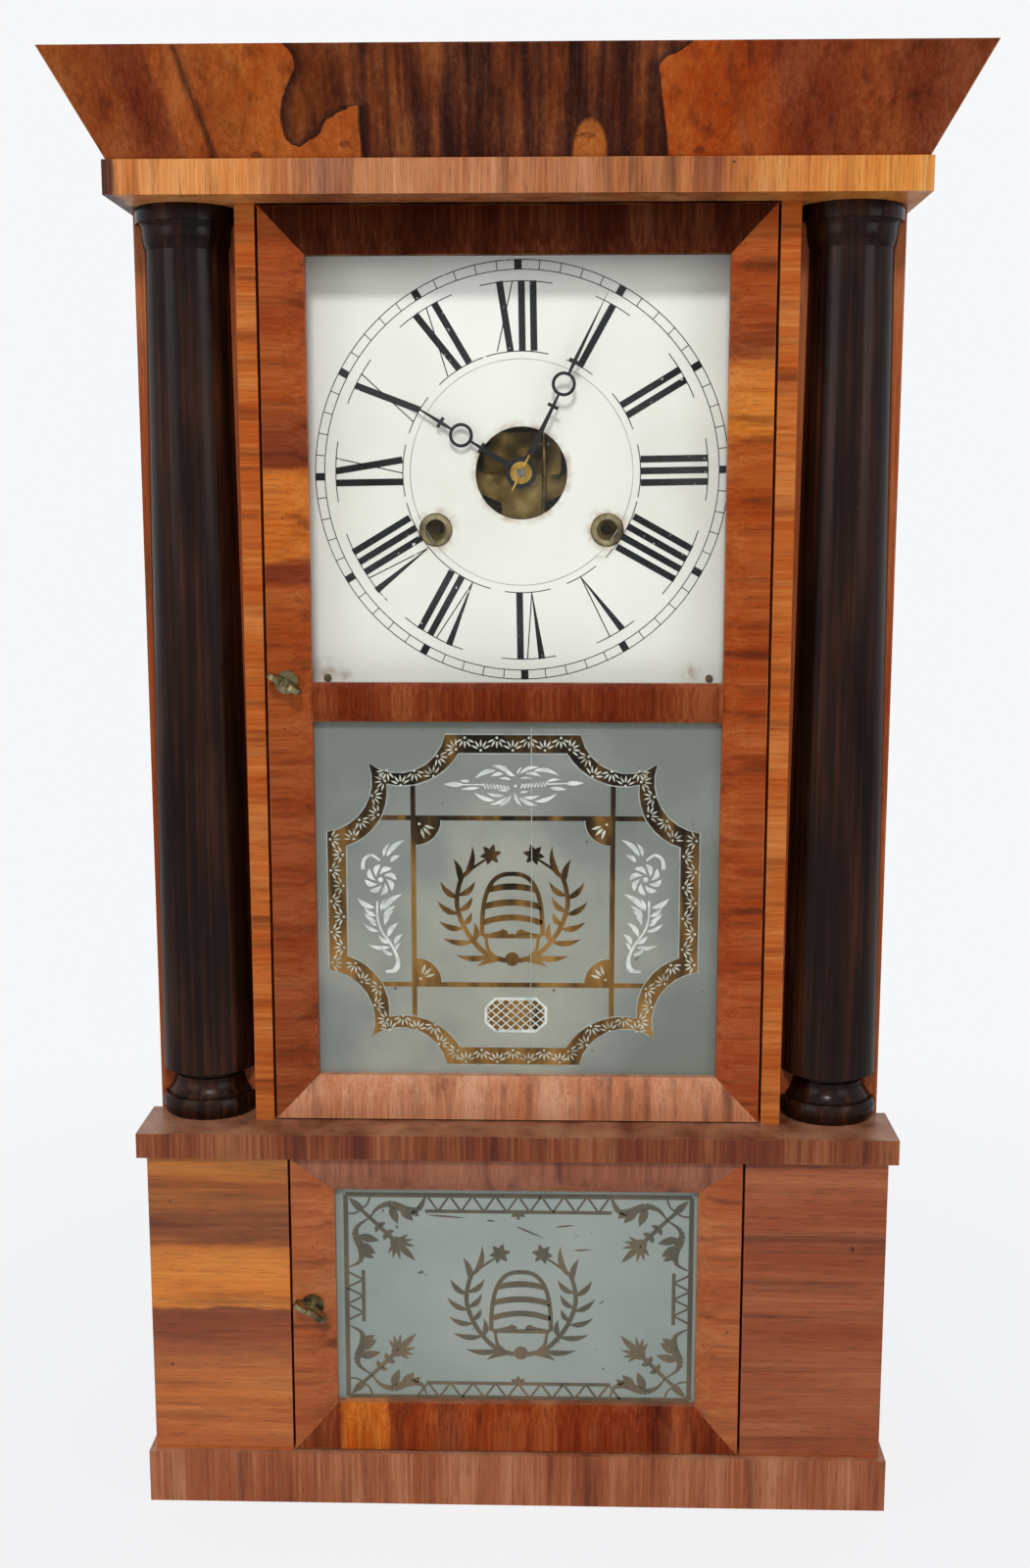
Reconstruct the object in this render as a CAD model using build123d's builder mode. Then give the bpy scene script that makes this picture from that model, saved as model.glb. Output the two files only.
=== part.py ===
from build123d import *
from math import atan2, cos, degrees, hypot, pi, radians, sin
import os

os.makedirs("parts", exist_ok=True)

# Column-and-cornice shelf clock with a weight-driven strike movement.
# Millimetres. +Z is up, the clock faces -Y, the origin is on the floor under the middle of the case.

# Case heights, from the floor up
base_height = 24.5
lower_height = 141.9
shelf_thick = 11.4
upper_height = 403.6
top_thick = 14.0
cornice_height = 39.6

# Case widths and overhangs
body_width = 332.4
side_thick = 8.0
base_overhang = 2.9
base_thick = 10.9
shelf_overhang = 4.0
top_overhang = 3.6
cornice_setback = 1.5
cornice_flare = 21.1
cornice_thick = 12.0

# Case depths
body_depth = 92.0
back_thick = 8.0
panel_thick = 10.0
shelf_nose = 3.0
top_nose = 3.5
channel_depth = 43.0
face_thick = 8.0
bottom_thick = 10.0
bottom_lift = 12.0

# Half columns. Their radii are shares of half the bay between jamb and case edge
column_shift = 0.55
column_sink = 3.0
foot_share = 0.951
neck_share = 0.64
shaft_low_share = 0.925
shaft_mid_share = 0.87
shaft_high_share = 0.79
astragal_share = 0.848
abacus_share = 0.95
bead_share = 0.837
foot_height = 9.0
foot_tuck = 1.2
bead_height = 1.2
scotia_height = 7.5
scotia_sag = 0.9
neck_height = 3.7
neck_fillet = 1.4
astragal_height = 8.2
astragal_fall = 0.3
cove_height = 3.2
cove_sag = 0.25
abacus_height = 6.6
abacus_lip = 1.5

# Doors: moulded frames with panes let into a rebate at the back
upper_door_width = 219.4
upper_stile_width = 19.2
upper_top_width = 20.1
upper_middle_width = 17.3
upper_bottom_width = 19.7
dial_opening_height = 182.2
upper_door_thick = 14.0
jamb_width = 8.4
jamb_proud = 16.5
door_recess = 0.5
lower_door_width = 203.0
lower_stile_width = 19.3
lower_top_width = 15.4
lower_bottom_width = 21.6
door_side_gap = 1.2
door_end_gap = 0.8
frame_flat = 5.0
frame_drop = 3.2
rebate_width = 4.0
rebate_depth = 7.0
pane_thick = 2.0
pane_play = 0.3

# Hinge pins and turn latches
hinge_inset = 3.6
hinge_depth = 2.6
hinge_pin_radius = 1.2
hinge_pin_length = 5.0
running_gap = 0.06
upper_latch_inset = 8.4
upper_latch_height = 201.0
lower_latch_inset = 8.9
lower_latch_height = 70.5
latch_plate_radius = 5.2
latch_plate_thick = 0.8
latch_stem_radius = 1.6
latch_neck_length = 3.6
latch_lobe_radius = 3.7
latch_lobe_spread = 4.7
latch_lobe_thick = 2.2
latch_tilt = 30.0
latch_tongue_length = 13.0
latch_tongue_width = 5.0
latch_tongue_thick = 1.5
latch_gap = 0.3

# Dial, its fittings and the rails that carry it
dial_offset = 1.5
dial_drop = 111.7
dial_gap = 9.0
dial_side_gap = 4.9
dial_top_gap = 7.7
dial_thick = 1.0
dial_centre_radius = 20.35
wind_spread = 38.15
wind_drop = 24.9
grommet_rim_radius = 7.4
grommet_bore_radius = 4.7
grommet_sleeve_radius = 5.7
grommet_rim_thick = 1.1
nail_head_radius = 1.7
nail_head_thick = 0.7
nail_radius = 0.7
nail_length = 8.0
nail_low = 91.0
nail_high = 96.0
rail_inner = 80.0
rail_thick = 12.0

# Hands
hand_thick = 0.6
hour_hand_gap = 3.0
minute_hand_gap = 2.4
hub_radius = 6.9
hour_hub_radius = 6.0
hand_root_width = 3.6
hand_tip_width = 0.9
hour_hand_angle = 148.4
hour_ring_place = 31.2
hour_hand_length = 60.7
minute_hand_angle = 64.0
minute_ring_place = 42.4
minute_hand_length = 87.5
ring_outer_radius = 5.3
ring_inner_radius = 3.9
cross_reach = 10.6
cross_length = 5.0
cross_width = 1.5
collet_radius = 4.8
collet_thick = 0.8
taper_pin_radius = 0.6
taper_pin_length = 17.0
arbor_tip = 2.6

# Movement plates and arbors
plate_gap = 13.0
plate_thick = 1.6
plate_space = 20.4
plate_half_width = 74.0
plate_below = 60.0
plate_above = 67.0
pillar_radius = 3.0
pillar_pin_radius = 1.8
pillar_pin_length = 1.2
pillar_inset = 8.0
arbor_radius = 1.2
arbor_end = 0.4
strap_half = 9.2
centre_boss_radius = 6.2
plate_window_low = 36.0
plate_window_side = 29.0
plate_window_top = 7.5
plate_brace_top = 13.0
plate_bar_top = 0.3
plate_corner_radius = 2.0
upper_window_half = 17.5
upper_window_top = 18.5

# Wheels. Depths of the layers are measured back from the inner face of the front plate
wheel_thick = 1.0
great_thick = 1.6
great_layer = 1.4
second_layer = 8.5
third_layer = 12.4
minute_layer = 5.6
motion_layer = 2.9
hour_layer = 0.8
time_tooth_count = 64
time_pitch_radius = 30.08
strike_tooth_count = 60
strike_pitch_radius = 27.9
great_wire_count = 10
second_tooth_count = 80
second_pitch_radius = 21.82
third_wire_count = 8
third_tooth_count = 64
third_pitch_radius = 21.12
escape_wire_count = 8
escape_tooth_count = 42
escape_tip_radius = 15.0
escape_root_radius = 12.6
escape_gap = 1.6
minute_tooth_count = 32
cannon_tooth_count = 10
motion_tooth_count = 30
motion_leaf_count = 8
hour_tooth_count = 32
motion_pitch_radius = 7.5
pin_tooth_count = 60
pin_pitch_radius = 19.5
pin_circle_radius = 14.0
strike_pin_count = 8
strike_pin_radius = 0.8
strike_pin_length = 1.7
fly_wire_count = 7
fly_span = 20.0
fly_depth = 7.0
fly_thick = 0.7
second_bearing = 66.0
third_bearing = 55.0
escape_bearing = 31.65
pin_bearing = 115.8
fly_bearing = 70.0
upright = 90.0
wire_share = 0.48
cap_thick = 0.6
cap_rim = 0.5
cap_gap = 0.2
addendum = 0.9
dedendum = 0.85
tooth_root_share = 0.54
tooth_tip_share = 0.2
gear_dedendum = 1.15
gear_root_share = 0.58
gear_tip_share = 0.18
minute_arbor_radius = 1.9
hour_pipe_radius = 3.2
hub_wall = 1.6

# Winding drums
drum_radius = 9.5
drum_rim_radius = 11.5
drum_rim_thick = 0.8
drum_layer = 4.6
drum_length = 11.6
wind_arbor_radius = 2.4
wind_square = 3.6
wind_square_length = 7.0
wind_arbor_reach = 11.0

# Escapement and pendulum
verge_rise = 18.5
verge_span = 32.0
verge_clearance = 0.95
verge_strip = 1.2
verge_lift = 1.3
verge_hub_radius = 1.9
verge_stud_radius = 1.0
crutch_radius = 0.45
crutch_length = 45.0
crutch_gap = 0.75
pendulum_gap = 5.4
pendulum_rod_radius = 1.0
pendulum_length = 285.0
bob_radius = 20.0
bob_thick = 9.0
nut_radius = 3.0
nut_height = 4.0
spring_width = 3.0
spring_thick = 0.4
spring_length = 12.0
post_radius = 2.0
post_rise = 4.4
post_reach = 7.0
seat_gap = 0.3

# Hammer and gong
hammer_x = 10.0
hammer_drop = 44.0
hammer_rod_radius = 1.0
hammer_head_radius = 4.0
hammer_head_length = 10.0
hammer_tail_length = 34.5
hammer_tail_width = 2.0
hammer_layer = 16.4
gong_drop = 135.0
gong_turn_count = 5
gong_start_radius = 8.0
gong_pitch = 4.2
gong_wire_width = 2.0
gong_wire_depth = 2.4
gong_post_radius = 5.0
gong_plate_radius = 16.0
gong_plate_thick = 4.0
gong_gap = 0.8

# Weights and their pulleys
weight_side_gap = 11.1
weight_end_gap = 6.5
weight_height = 118.0
weight_edge = 4.0
weight_eye_radius = 6.0
weight_eye_hole = 3.4
weight_eye_thick = 3.0
weight_neck_radius = 2.0
weight_neck_length = 8.0
pulley_radius = 14.0
pulley_groove = 3.0
pulley_width = 7.0
pulley_gap = 6.0
pulley_axle_radius = 1.5
pulley_axle_seat = 3.0

# Levels and planes that follow from the sizes
shelf_z = base_height + lower_height
shelf_top = shelf_z + shelf_thick
top_z = shelf_top + upper_height
cornice_z = top_z + top_thick
case_top = cornice_z + cornice_height
half_body = body_width / 2
inner_half = half_body - side_thick
cornice_reach = top_nose - cornice_setback + cornice_flare
panel_y = (cornice_reach - body_depth) / 2
back_y = panel_y + body_depth
inner_back = back_y - back_thick
face_back = inner_back - channel_depth
face_y = face_back - face_thick
jamb_y = face_y - jamb_proud
upper_door_y = jamb_y + door_recess
upper_door_back = upper_door_y + upper_door_thick
upper_half = upper_door_width / 2
lower_half = lower_door_width / 2
jamb_inner = upper_half + door_side_gap
jamb_outer = jamb_inner + jamb_width
rail_outer = rail_inner + rail_thick
bottom_top = bottom_lift + bottom_thick
bay_half = (half_body - jamb_outer) / 2
column_x = jamb_outer + bay_half + column_shift
foot_radius = foot_share * bay_half
neck_radius = neck_share * bay_half
shaft_low_radius = shaft_low_share * bay_half
shaft_mid_radius = shaft_mid_share * bay_half
shaft_high_radius = shaft_high_share * bay_half
astragal_radius = astragal_share * bay_half
abacus_radius = abacus_share * bay_half
bead_radius = bead_share * bay_half
column_y = face_y + column_sink
dial_y = upper_door_back + dial_gap
dial_back = dial_y + dial_thick
dial_z = top_z - dial_drop
dial_width = 2 * (jamb_inner - dial_side_gap)
dial_height = 2 * (dial_drop - dial_top_gap)
weight_x = (rail_outer + inner_half) / 2
weight_y = (face_back + inner_back) / 2
weight_width = inner_half - rail_outer - 2 * weight_side_gap
weight_depth = channel_depth - 2 * weight_end_gap
pulley_z = top_z - pulley_radius - pulley_gap

# Plates and wheel layers, front to back
front_plate_y = dial_back + plate_gap
plate_inside = front_plate_y + plate_thick
back_plate_y = plate_inside + plate_space
back_plate_back = back_plate_y + plate_thick
great_y = plate_inside + great_layer
hour_y = plate_inside + hour_layer
motion_y = plate_inside + motion_layer
minute_y = plate_inside + minute_layer
second_y = plate_inside + second_layer
third_y = plate_inside + third_layer
drum_y = plate_inside + drum_layer
escape_y = front_plate_y - escape_gap - wheel_thick
hammer_y = plate_inside + hammer_layer


def polar(start, distance, bearing):
    """A point seen from the front: distance and bearing, in degrees up from +X, from a start point."""
    return (start[0] + distance * cos(radians(bearing)), start[1] + distance * sin(radians(bearing)))


def bearing_to(start, end):
    """The bearing in degrees from one arbor to another, seen from the front."""
    return degrees(atan2(end[1] - start[1], end[0] - start[0]))


# The size of tooth that each wheel shares with the pinion it drives
time_module = 2 * time_pitch_radius / time_tooth_count
strike_module = 2 * strike_pitch_radius / strike_tooth_count
second_module = 2 * second_pitch_radius / second_tooth_count
third_module = 2 * third_pitch_radius / third_tooth_count
pin_module = 2 * pin_pitch_radius / pin_tooth_count
motion_module = 2 * motion_pitch_radius / motion_tooth_count

# Arbor places seen from the front, as (x, z)
centre = (dial_offset, dial_z)
time_axis = (centre[0] - wind_spread, centre[1] - wind_drop)
strike_axis = (centre[0] + wind_spread, centre[1] - wind_drop)
second_axis = polar(time_axis, time_module * (time_tooth_count + great_wire_count) / 2, second_bearing)
third_axis = polar(second_axis, second_module * (second_tooth_count + third_wire_count) / 2, third_bearing)
escape_axis = polar(third_axis, third_module * (third_tooth_count + escape_wire_count) / 2, escape_bearing)
verge_axis = (escape_axis[0], escape_axis[1] + verge_rise)
pin_axis = polar(strike_axis, strike_module * (strike_tooth_count + great_wire_count) / 2, pin_bearing)
fly_axis = polar(pin_axis, pin_module * (pin_tooth_count + fly_wire_count) / 2, fly_bearing)
motion_axis = (centre[0], centre[1] - motion_module * (cannon_tooth_count + motion_tooth_count) / 2)
hammer_axis = (centre[0] + hammer_x, centre[1] - hammer_drop)
gong_axis = (centre[0], centre[1] - gong_drop)
minute_module = hypot(second_axis[0] - centre[0], second_axis[1] - centre[1]) / minute_tooth_count


def slab(x, y, z, mode=Mode.ADD):
    """A square-edged board between pairs of x, y and z limits."""
    middle = ((x[0] + x[1]) / 2, (y[0] + y[1]) / 2, (z[0] + z[1]) / 2)
    with Locations(middle):
        Box(x[1] - x[0], y[1] - y[0], z[1] - z[0], mode=mode)


def facing(axis, y):
    """A sketch plane that faces the viewer at depth y, centred on an arbor."""
    return Plane(origin=(axis[0], y, axis[1]), x_dir=(1, 0, 0), z_dir=(0, -1, 0))


def disc(axis, y_front, y_back, radius, mode=Mode.ADD):
    """A round disc, boss, arbor or hole along an arbor, between two depths."""
    with BuildSketch(facing(axis, y_back)) as face:
        Circle(radius)
    extrude(face.sketch, amount=y_back - y_front, mode=mode)


def wheel(axis, y_front, thick, teeth, radii, shares, phase):
    """A toothed disc: radii are root and tip, shares are the tooth's part of the pitch there."""
    pitch = 2 * pi / teeth
    corners = []
    for tooth in range(teeth):
        middle = radians(phase) + tooth * pitch
        for level, side in ((0, -1), (1, -1), (1, 1), (0, 1)):
            angle = middle + side * shares[level] * pitch / 2
            corners.append((radii[level] * cos(angle), radii[level] * sin(angle)))
    with BuildSketch(facing(axis, y_front + thick)) as face:
        with BuildLine():
            Polyline(*corners, close=True)
        make_face()
    extrude(face.sketch, amount=thick)


def train_wheel(axis, y_front, thick, teeth, module, mate):
    """A train wheel with a gap between teeth turned towards the lantern pinion that it drives."""
    radius = module * teeth / 2
    radii = (radius - dedendum * module, radius + addendum * module)
    phase = bearing_to(axis, mate) + 180 / teeth
    wheel(axis, y_front, thick, teeth, radii, (tooth_root_share, tooth_tip_share), phase)


def gear(axis, y_front, thick, teeth, module, phase):
    """A spur gear of the motion work."""
    radius = module * teeth / 2
    radii = (radius - gear_dedendum * module, radius + addendum * module)
    wheel(axis, y_front, thick, teeth, radii, (gear_root_share, gear_tip_share), phase)


def lantern(axis, y_front, thick, wires, module, mate):
    """A lantern pinion: wires between two caps, one wire turned towards the wheel that drives it."""
    pitch_radius = module * wires / 2
    wire_radius = wire_share * module
    cap_radius = pitch_radius + wire_radius + cap_rim
    y_low = y_front - cap_gap
    y_high = y_front + thick + cap_gap
    disc(axis, y_low - cap_thick, y_low, cap_radius)
    disc(axis, y_high, y_high + cap_thick, cap_radius)
    with BuildSketch(facing(axis, y_high)) as face:
        with PolarLocations(pitch_radius, wires, start_angle=bearing_to(axis, mate)):
            Circle(wire_radius)
    extrude(face.sketch, amount=y_high - y_low)


def arbor(axis, y_front=front_plate_y - arbor_end):
    """A plain arbor that runs in both plates."""
    disc(axis, y_front, back_plate_back + arbor_end, arbor_radius)


# Back, bottom and side boards
with BuildPart() as backboard:
    slab((-half_body, half_body), (inner_back, back_y), (0, top_z))
    for side in (-1, 1):
        disc((side * weight_x, pulley_z), inner_back, inner_back + pulley_axle_seat,
             pulley_axle_radius + running_gap, Mode.SUBTRACT)

with BuildPart() as bottom_board:
    bottom_half = half_body + base_overhang - base_thick
    bottom_front = panel_y + base_thick - base_overhang
    slab((-bottom_half, bottom_half), (bottom_front, inner_back), (bottom_lift, bottom_top))


def side_board(side):
    """A side: deep below the shelf, set back above it."""
    with BuildSketch(Plane.YZ.offset(side * half_body - (side_thick if side > 0 else 0))) as outline:
        with BuildLine():
            Polyline(
                (panel_y + panel_thick, base_height),
                (inner_back, base_height),
                (inner_back, top_z),
                (face_back, top_z),
                (face_back, shelf_z),
                (panel_y + panel_thick, shelf_z),
                close=True,
            )
        make_face()
    extrude(outline.sketch, amount=side_thick)


with BuildPart() as side_board_left:
    side_board(-1)

with BuildPart() as side_board_right:
    side_board(1)

# Base moulding: three strips mitred round the foot
with BuildPart() as base_moulding:
    base_half = half_body + base_overhang
    base_front = panel_y - base_overhang
    with BuildSketch() as base_plan:
        with BuildLine():
            Polyline(
                (-base_half, base_front),
                (base_half, base_front),
                (base_half - base_thick, base_front + base_thick),
                (-base_half + base_thick, base_front + base_thick),
                close=True,
            )
        make_face()
        for side in (-1, 1):
            with BuildLine():
                Polyline(
                    (side * base_half, base_front),
                    (side * base_half, inner_back),
                    (side * (base_half - base_thick), inner_back),
                    (side * (base_half - base_thick), base_front + base_thick),
                    close=True,
                )
            make_face()
    extrude(base_plan.sketch, amount=base_height)
    with Locations((lower_half - hinge_inset, panel_y + hinge_depth, base_height - hinge_pin_length / 2)):
        Cylinder(hinge_pin_radius + running_gap, hinge_pin_length, mode=Mode.SUBTRACT)

# Lower front: a panel either side of the small door
with BuildPart() as lower_panel_left:
    slab((-half_body, -lower_half - door_side_gap), (panel_y, panel_y + panel_thick), (base_height, shelf_z))

with BuildPart() as lower_panel_right:
    slab((lower_half + door_side_gap, half_body), (panel_y, panel_y + panel_thick), (base_height, shelf_z))

# Shelf that the columns stand on
with BuildPart() as mid_shelf:
    shelf_half = half_body + shelf_overhang
    slab((-shelf_half, shelf_half), (panel_y - shelf_nose, face_y), (shelf_z, shelf_top))
    slab((-half_body, half_body), (face_y, face_back), (shelf_z, shelf_top))
    with Locations((upper_half - hinge_inset, upper_door_y + hinge_depth, shelf_top - hinge_pin_length / 2)):
        Cylinder(hinge_pin_radius + running_gap, hinge_pin_length, mode=Mode.SUBTRACT)
    with Locations((lower_half - hinge_inset, panel_y + hinge_depth, shelf_z + hinge_pin_length / 2)):
        Cylinder(hinge_pin_radius + running_gap, hinge_pin_length, mode=Mode.SUBTRACT)

# Top board, whose edge shows as the band under the cornice
with BuildPart() as top_board:
    top_half = half_body + top_overhang
    slab((-top_half, top_half), (panel_y - top_nose, back_y), (top_z, cornice_z))
    with Locations((upper_half - hinge_inset, upper_door_y + hinge_depth, top_z + hinge_pin_length / 2)):
        Cylinder(hinge_pin_radius + running_gap, hinge_pin_length, mode=Mode.SUBTRACT)

# Cornice: three boards that lean outwards, mitred at the front corners
low_half = top_half - cornice_setback
low_front = panel_y - top_nose + cornice_setback
high_half = low_half + cornice_flare
high_front = low_front - cornice_flare


def leaning_board(low_corners, high_corners):
    """A board between its plan at the foot and its plan at the top of the cornice."""
    with BuildSketch(Plane.XY.offset(cornice_z)) as foot:
        with BuildLine():
            Polyline(*low_corners, close=True)
        make_face()
    with BuildSketch(Plane.XY.offset(case_top)) as crest:
        with BuildLine():
            Polyline(*high_corners, close=True)
        make_face()
    loft([foot.sketch.face(), crest.sketch.face()], ruled=True)


def front_plan(half, front):
    """Plan of the cornice front at one level, with mitred ends."""
    return [(-half, front), (half, front), (half - cornice_thick, front + cornice_thick),
            (-half + cornice_thick, front + cornice_thick)]


def return_plan(side, half, front):
    """Plan of a cornice return at one level, mitred at the front."""
    return [(side * half, front), (side * half, back_y), (side * (half - cornice_thick), back_y),
            (side * (half - cornice_thick), front + cornice_thick)]


with BuildPart() as cornice_front:
    leaning_board(front_plan(low_half, low_front), front_plan(high_half, high_front))

with BuildPart() as cornice_return_left:
    leaning_board(return_plan(-1, low_half, low_front), return_plan(-1, high_half, high_front))

with BuildPart() as cornice_return_right:
    leaning_board(return_plan(1, low_half, low_front), return_plan(1, high_half, high_front))


def axle_seat(side):
    """The blind hole for a pulley's axle, in whichever board stands in front of the pulley."""
    disc((side * weight_x, pulley_z), face_back - pulley_axle_seat, face_back,
         pulley_axle_radius + running_gap, Mode.SUBTRACT)


def face_board(side):
    """The board behind a column, with a seat for the pulley's axle at the back."""
    slab(sorted((side * jamb_outer, side * half_body)), (face_y, face_back), (shelf_top, top_z))
    axle_seat(side)


with BuildPart() as face_board_left:
    face_board(-1)

with BuildPart() as face_board_right:
    face_board(1)


def half_column(side):
    """A turned column: cushion foot, scotia, neck, swelling shaft, ovolo and abacus, cut flat at the back."""
    foot_z = shelf_top + foot_height
    bead_z = foot_z + bead_height
    neck_z = bead_z + scotia_height
    shaft_z = neck_z + neck_height
    abacus_z = top_z - abacus_height
    cove_z = abacus_z - cove_height
    astragal_z = cove_z - astragal_height
    foot_edge = foot_radius - foot_tuck
    scotia_radius = neck_radius + neck_fillet
    cove_radius = abacus_radius - abacus_lip
    scotia_middle = ((bead_radius + scotia_radius) / 2 - scotia_sag, (bead_z + neck_z) / 2)
    shaft_middle = (shaft_mid_radius, (shaft_z + astragal_z) / 2)
    astragal_middle = (astragal_radius - astragal_fall, (astragal_z + cove_z) / 2)
    cove_middle = ((astragal_radius + cove_radius) / 2 - cove_sag, (cove_z + abacus_z) / 2)
    with BuildSketch(facing((side * column_x, 0), column_y)) as profile:
        with BuildLine():
            Line((0, shelf_top), (foot_edge, shelf_top))
            ThreePointArc((foot_edge, shelf_top), (foot_radius, (shelf_top + foot_z) / 2), (foot_edge, foot_z))
            Polyline((foot_edge, foot_z), (bead_radius, foot_z), (bead_radius, bead_z))
            ThreePointArc((bead_radius, bead_z), scotia_middle, (scotia_radius, neck_z))
            Polyline((scotia_radius, neck_z), (neck_radius, neck_z), (neck_radius, shaft_z),
                     (shaft_low_radius, shaft_z))
            ThreePointArc((shaft_low_radius, shaft_z), shaft_middle, (shaft_high_radius, astragal_z))
            ThreePointArc((shaft_high_radius, astragal_z), astragal_middle, (astragal_radius, cove_z))
            ThreePointArc((astragal_radius, cove_z), cove_middle, (cove_radius, abacus_z))
            Polyline((cove_radius, abacus_z), (abacus_radius, abacus_z), (abacus_radius, top_z), (0, top_z),
                     (0, shelf_top))
        make_face()
    revolve(profile.sketch, axis=Axis((side * column_x, column_y, 0), (0, 0, 1)))
    split(bisect_by=Plane(origin=(0, face_y, 0), x_dir=(1, 0, 0), z_dir=(0, -1, 0)), keep=Keep.TOP)


with BuildPart() as column_left:
    half_column(-1)

with BuildPart() as column_right:
    half_column(1)

# Jambs beside the upper door; the left one is notched for the latch tongue
latch_z = shelf_top + upper_latch_height
latch_x = -upper_half + upper_latch_inset

with BuildPart() as jamb_left:
    slab((-jamb_outer, -jamb_inner), (jamb_y, face_back), (shelf_top, top_z))
    notch_reach = latch_x - latch_tongue_length - latch_tongue_width / 2
    notch_back = upper_door_back + latch_tongue_thick + 3 * latch_gap
    slab((notch_reach, -jamb_inner), (upper_door_back - latch_gap, notch_back),
         (latch_z - latch_tongue_width, latch_z + latch_tongue_length + latch_tongue_width / 2), Mode.SUBTRACT)
    axle_seat(-1)

with BuildPart() as jamb_right:
    slab((jamb_inner, jamb_outer), (jamb_y, face_back), (shelf_top, top_z))
    axle_seat(1)


def inner_rail(side):
    """A board from back to dial that carries the dial and walls off a weight's channel."""
    slab(sorted((side * rail_inner, side * rail_outer)), (dial_back, inner_back), (bottom_top, top_z))
    for nail_z in (dial_z - nail_low, dial_z + nail_high):
        disc((side * (rail_inner + rail_outer) / 2, nail_z), dial_back, dial_back + nail_length,
             nail_radius + running_gap, Mode.SUBTRACT)


with BuildPart() as inner_rail_left:
    inner_rail(-1)

with BuildPart() as inner_rail_right:
    inner_rail(1)


def stile(outer_x, inner_x, z_low, z_high, y_front, y_back):
    """An upright frame member: flat at its outer edge, rounded down to the pane, rebated behind it."""
    way = 1 if inner_x > outer_x else -1
    y_pane = y_front + rebate_depth
    with BuildSketch(Plane.XY.offset(z_low)) as section:
        with BuildLine():
            Polyline((outer_x, y_back), (outer_x, y_front), (outer_x + way * frame_flat, y_front))
            TangentArc((outer_x + way * frame_flat, y_front), (inner_x, y_front + frame_drop), tangent=(way, 0))
            Polyline(
                (inner_x, y_front + frame_drop),
                (inner_x, y_pane),
                (inner_x - way * rebate_width, y_pane),
                (inner_x - way * rebate_width, y_back),
                (outer_x, y_back),
            )
        make_face()
    extrude(section.sketch, amount=z_high - z_low)


def rail(outer_z, inner_z, half_length, y_front, y_back):
    """A level frame member with the same moulding as a stile."""
    way = 1 if inner_z > outer_z else -1
    y_pane = y_front + rebate_depth
    with BuildSketch(Plane.YZ.offset(-half_length)) as section:
        with BuildLine():
            Polyline((y_back, outer_z), (y_front, outer_z), (y_front, outer_z + way * frame_flat))
            TangentArc((y_front, outer_z + way * frame_flat), (y_front + frame_drop, inner_z), tangent=(0, way))
            Polyline(
                (y_front + frame_drop, inner_z),
                (y_pane, inner_z),
                (y_pane, inner_z - way * rebate_width),
                (y_back, inner_z - way * rebate_width),
                (y_back, outer_z),
            )
        make_face()
    extrude(section.sketch, amount=2 * half_length)


def mitre(outer, inner, keep):
    """Cuts a frame member along the line from an outer corner of the frame to an inner one."""
    across = inner[0] - outer[0]
    up = inner[1] - outer[1]
    toward_middle = 1 if across > 0 else -1
    toward_edge = -1 if up > 0 else 1
    normal = (toward_middle * abs(up), 0, toward_edge * abs(across))
    split(bisect_by=Plane(origin=(outer[0], 0, outer[1]), x_dir=(0, 1, 0), z_dir=normal), keep=keep)


def hinge_pin(x, y, z, way):
    """A pin that stands out of a rail's end on the hinge line, up or down into the case."""
    pin_length = hinge_pin_length + door_end_gap - seat_gap
    with Locations((x, y, z + way * pin_length / 2)):
        Cylinder(hinge_pin_radius, pin_length)


# Upper door
upper_low = shelf_top + door_end_gap
upper_high = top_z - door_end_gap
upper_open_x = upper_half - upper_stile_width
dial_open_top = upper_high - upper_top_width
dial_open_low = dial_open_top - dial_opening_height
tablet_open_top = dial_open_low - upper_middle_width
tablet_open_low = upper_low + upper_bottom_width
upper_pane_y = upper_door_y + rebate_depth


def upper_stile(side):
    """A stile of the upper door, mitred at both ends."""
    stile(side * upper_half, side * upper_open_x, upper_low, upper_high, upper_door_y, upper_door_back)
    mitre((side * upper_half, upper_high), (side * upper_open_x, dial_open_top), Keep.BOTTOM)
    mitre((side * upper_half, upper_low), (side * upper_open_x, tablet_open_low), Keep.BOTTOM)


with BuildPart() as upper_stile_left:
    upper_stile(-1)
    disc((latch_x, latch_z), upper_door_y, upper_door_back, latch_stem_radius + running_gap, Mode.SUBTRACT)

with BuildPart() as upper_stile_right:
    upper_stile(1)

with BuildPart() as upper_top_rail:
    rail(upper_high, dial_open_top, upper_half, upper_door_y, upper_door_back)
    for side in (-1, 1):
        mitre((side * upper_half, upper_high), (side * upper_open_x, dial_open_top), Keep.TOP)
    hinge_pin(upper_half - hinge_inset, upper_door_y + hinge_depth, upper_high, 1)

with BuildPart() as upper_bottom_rail:
    rail(upper_low, tablet_open_low, upper_half, upper_door_y, upper_door_back)
    for side in (-1, 1):
        mitre((side * upper_half, upper_low), (side * upper_open_x, tablet_open_low), Keep.TOP)
    hinge_pin(upper_half - hinge_inset, upper_door_y + hinge_depth, upper_low, -1)

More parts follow.
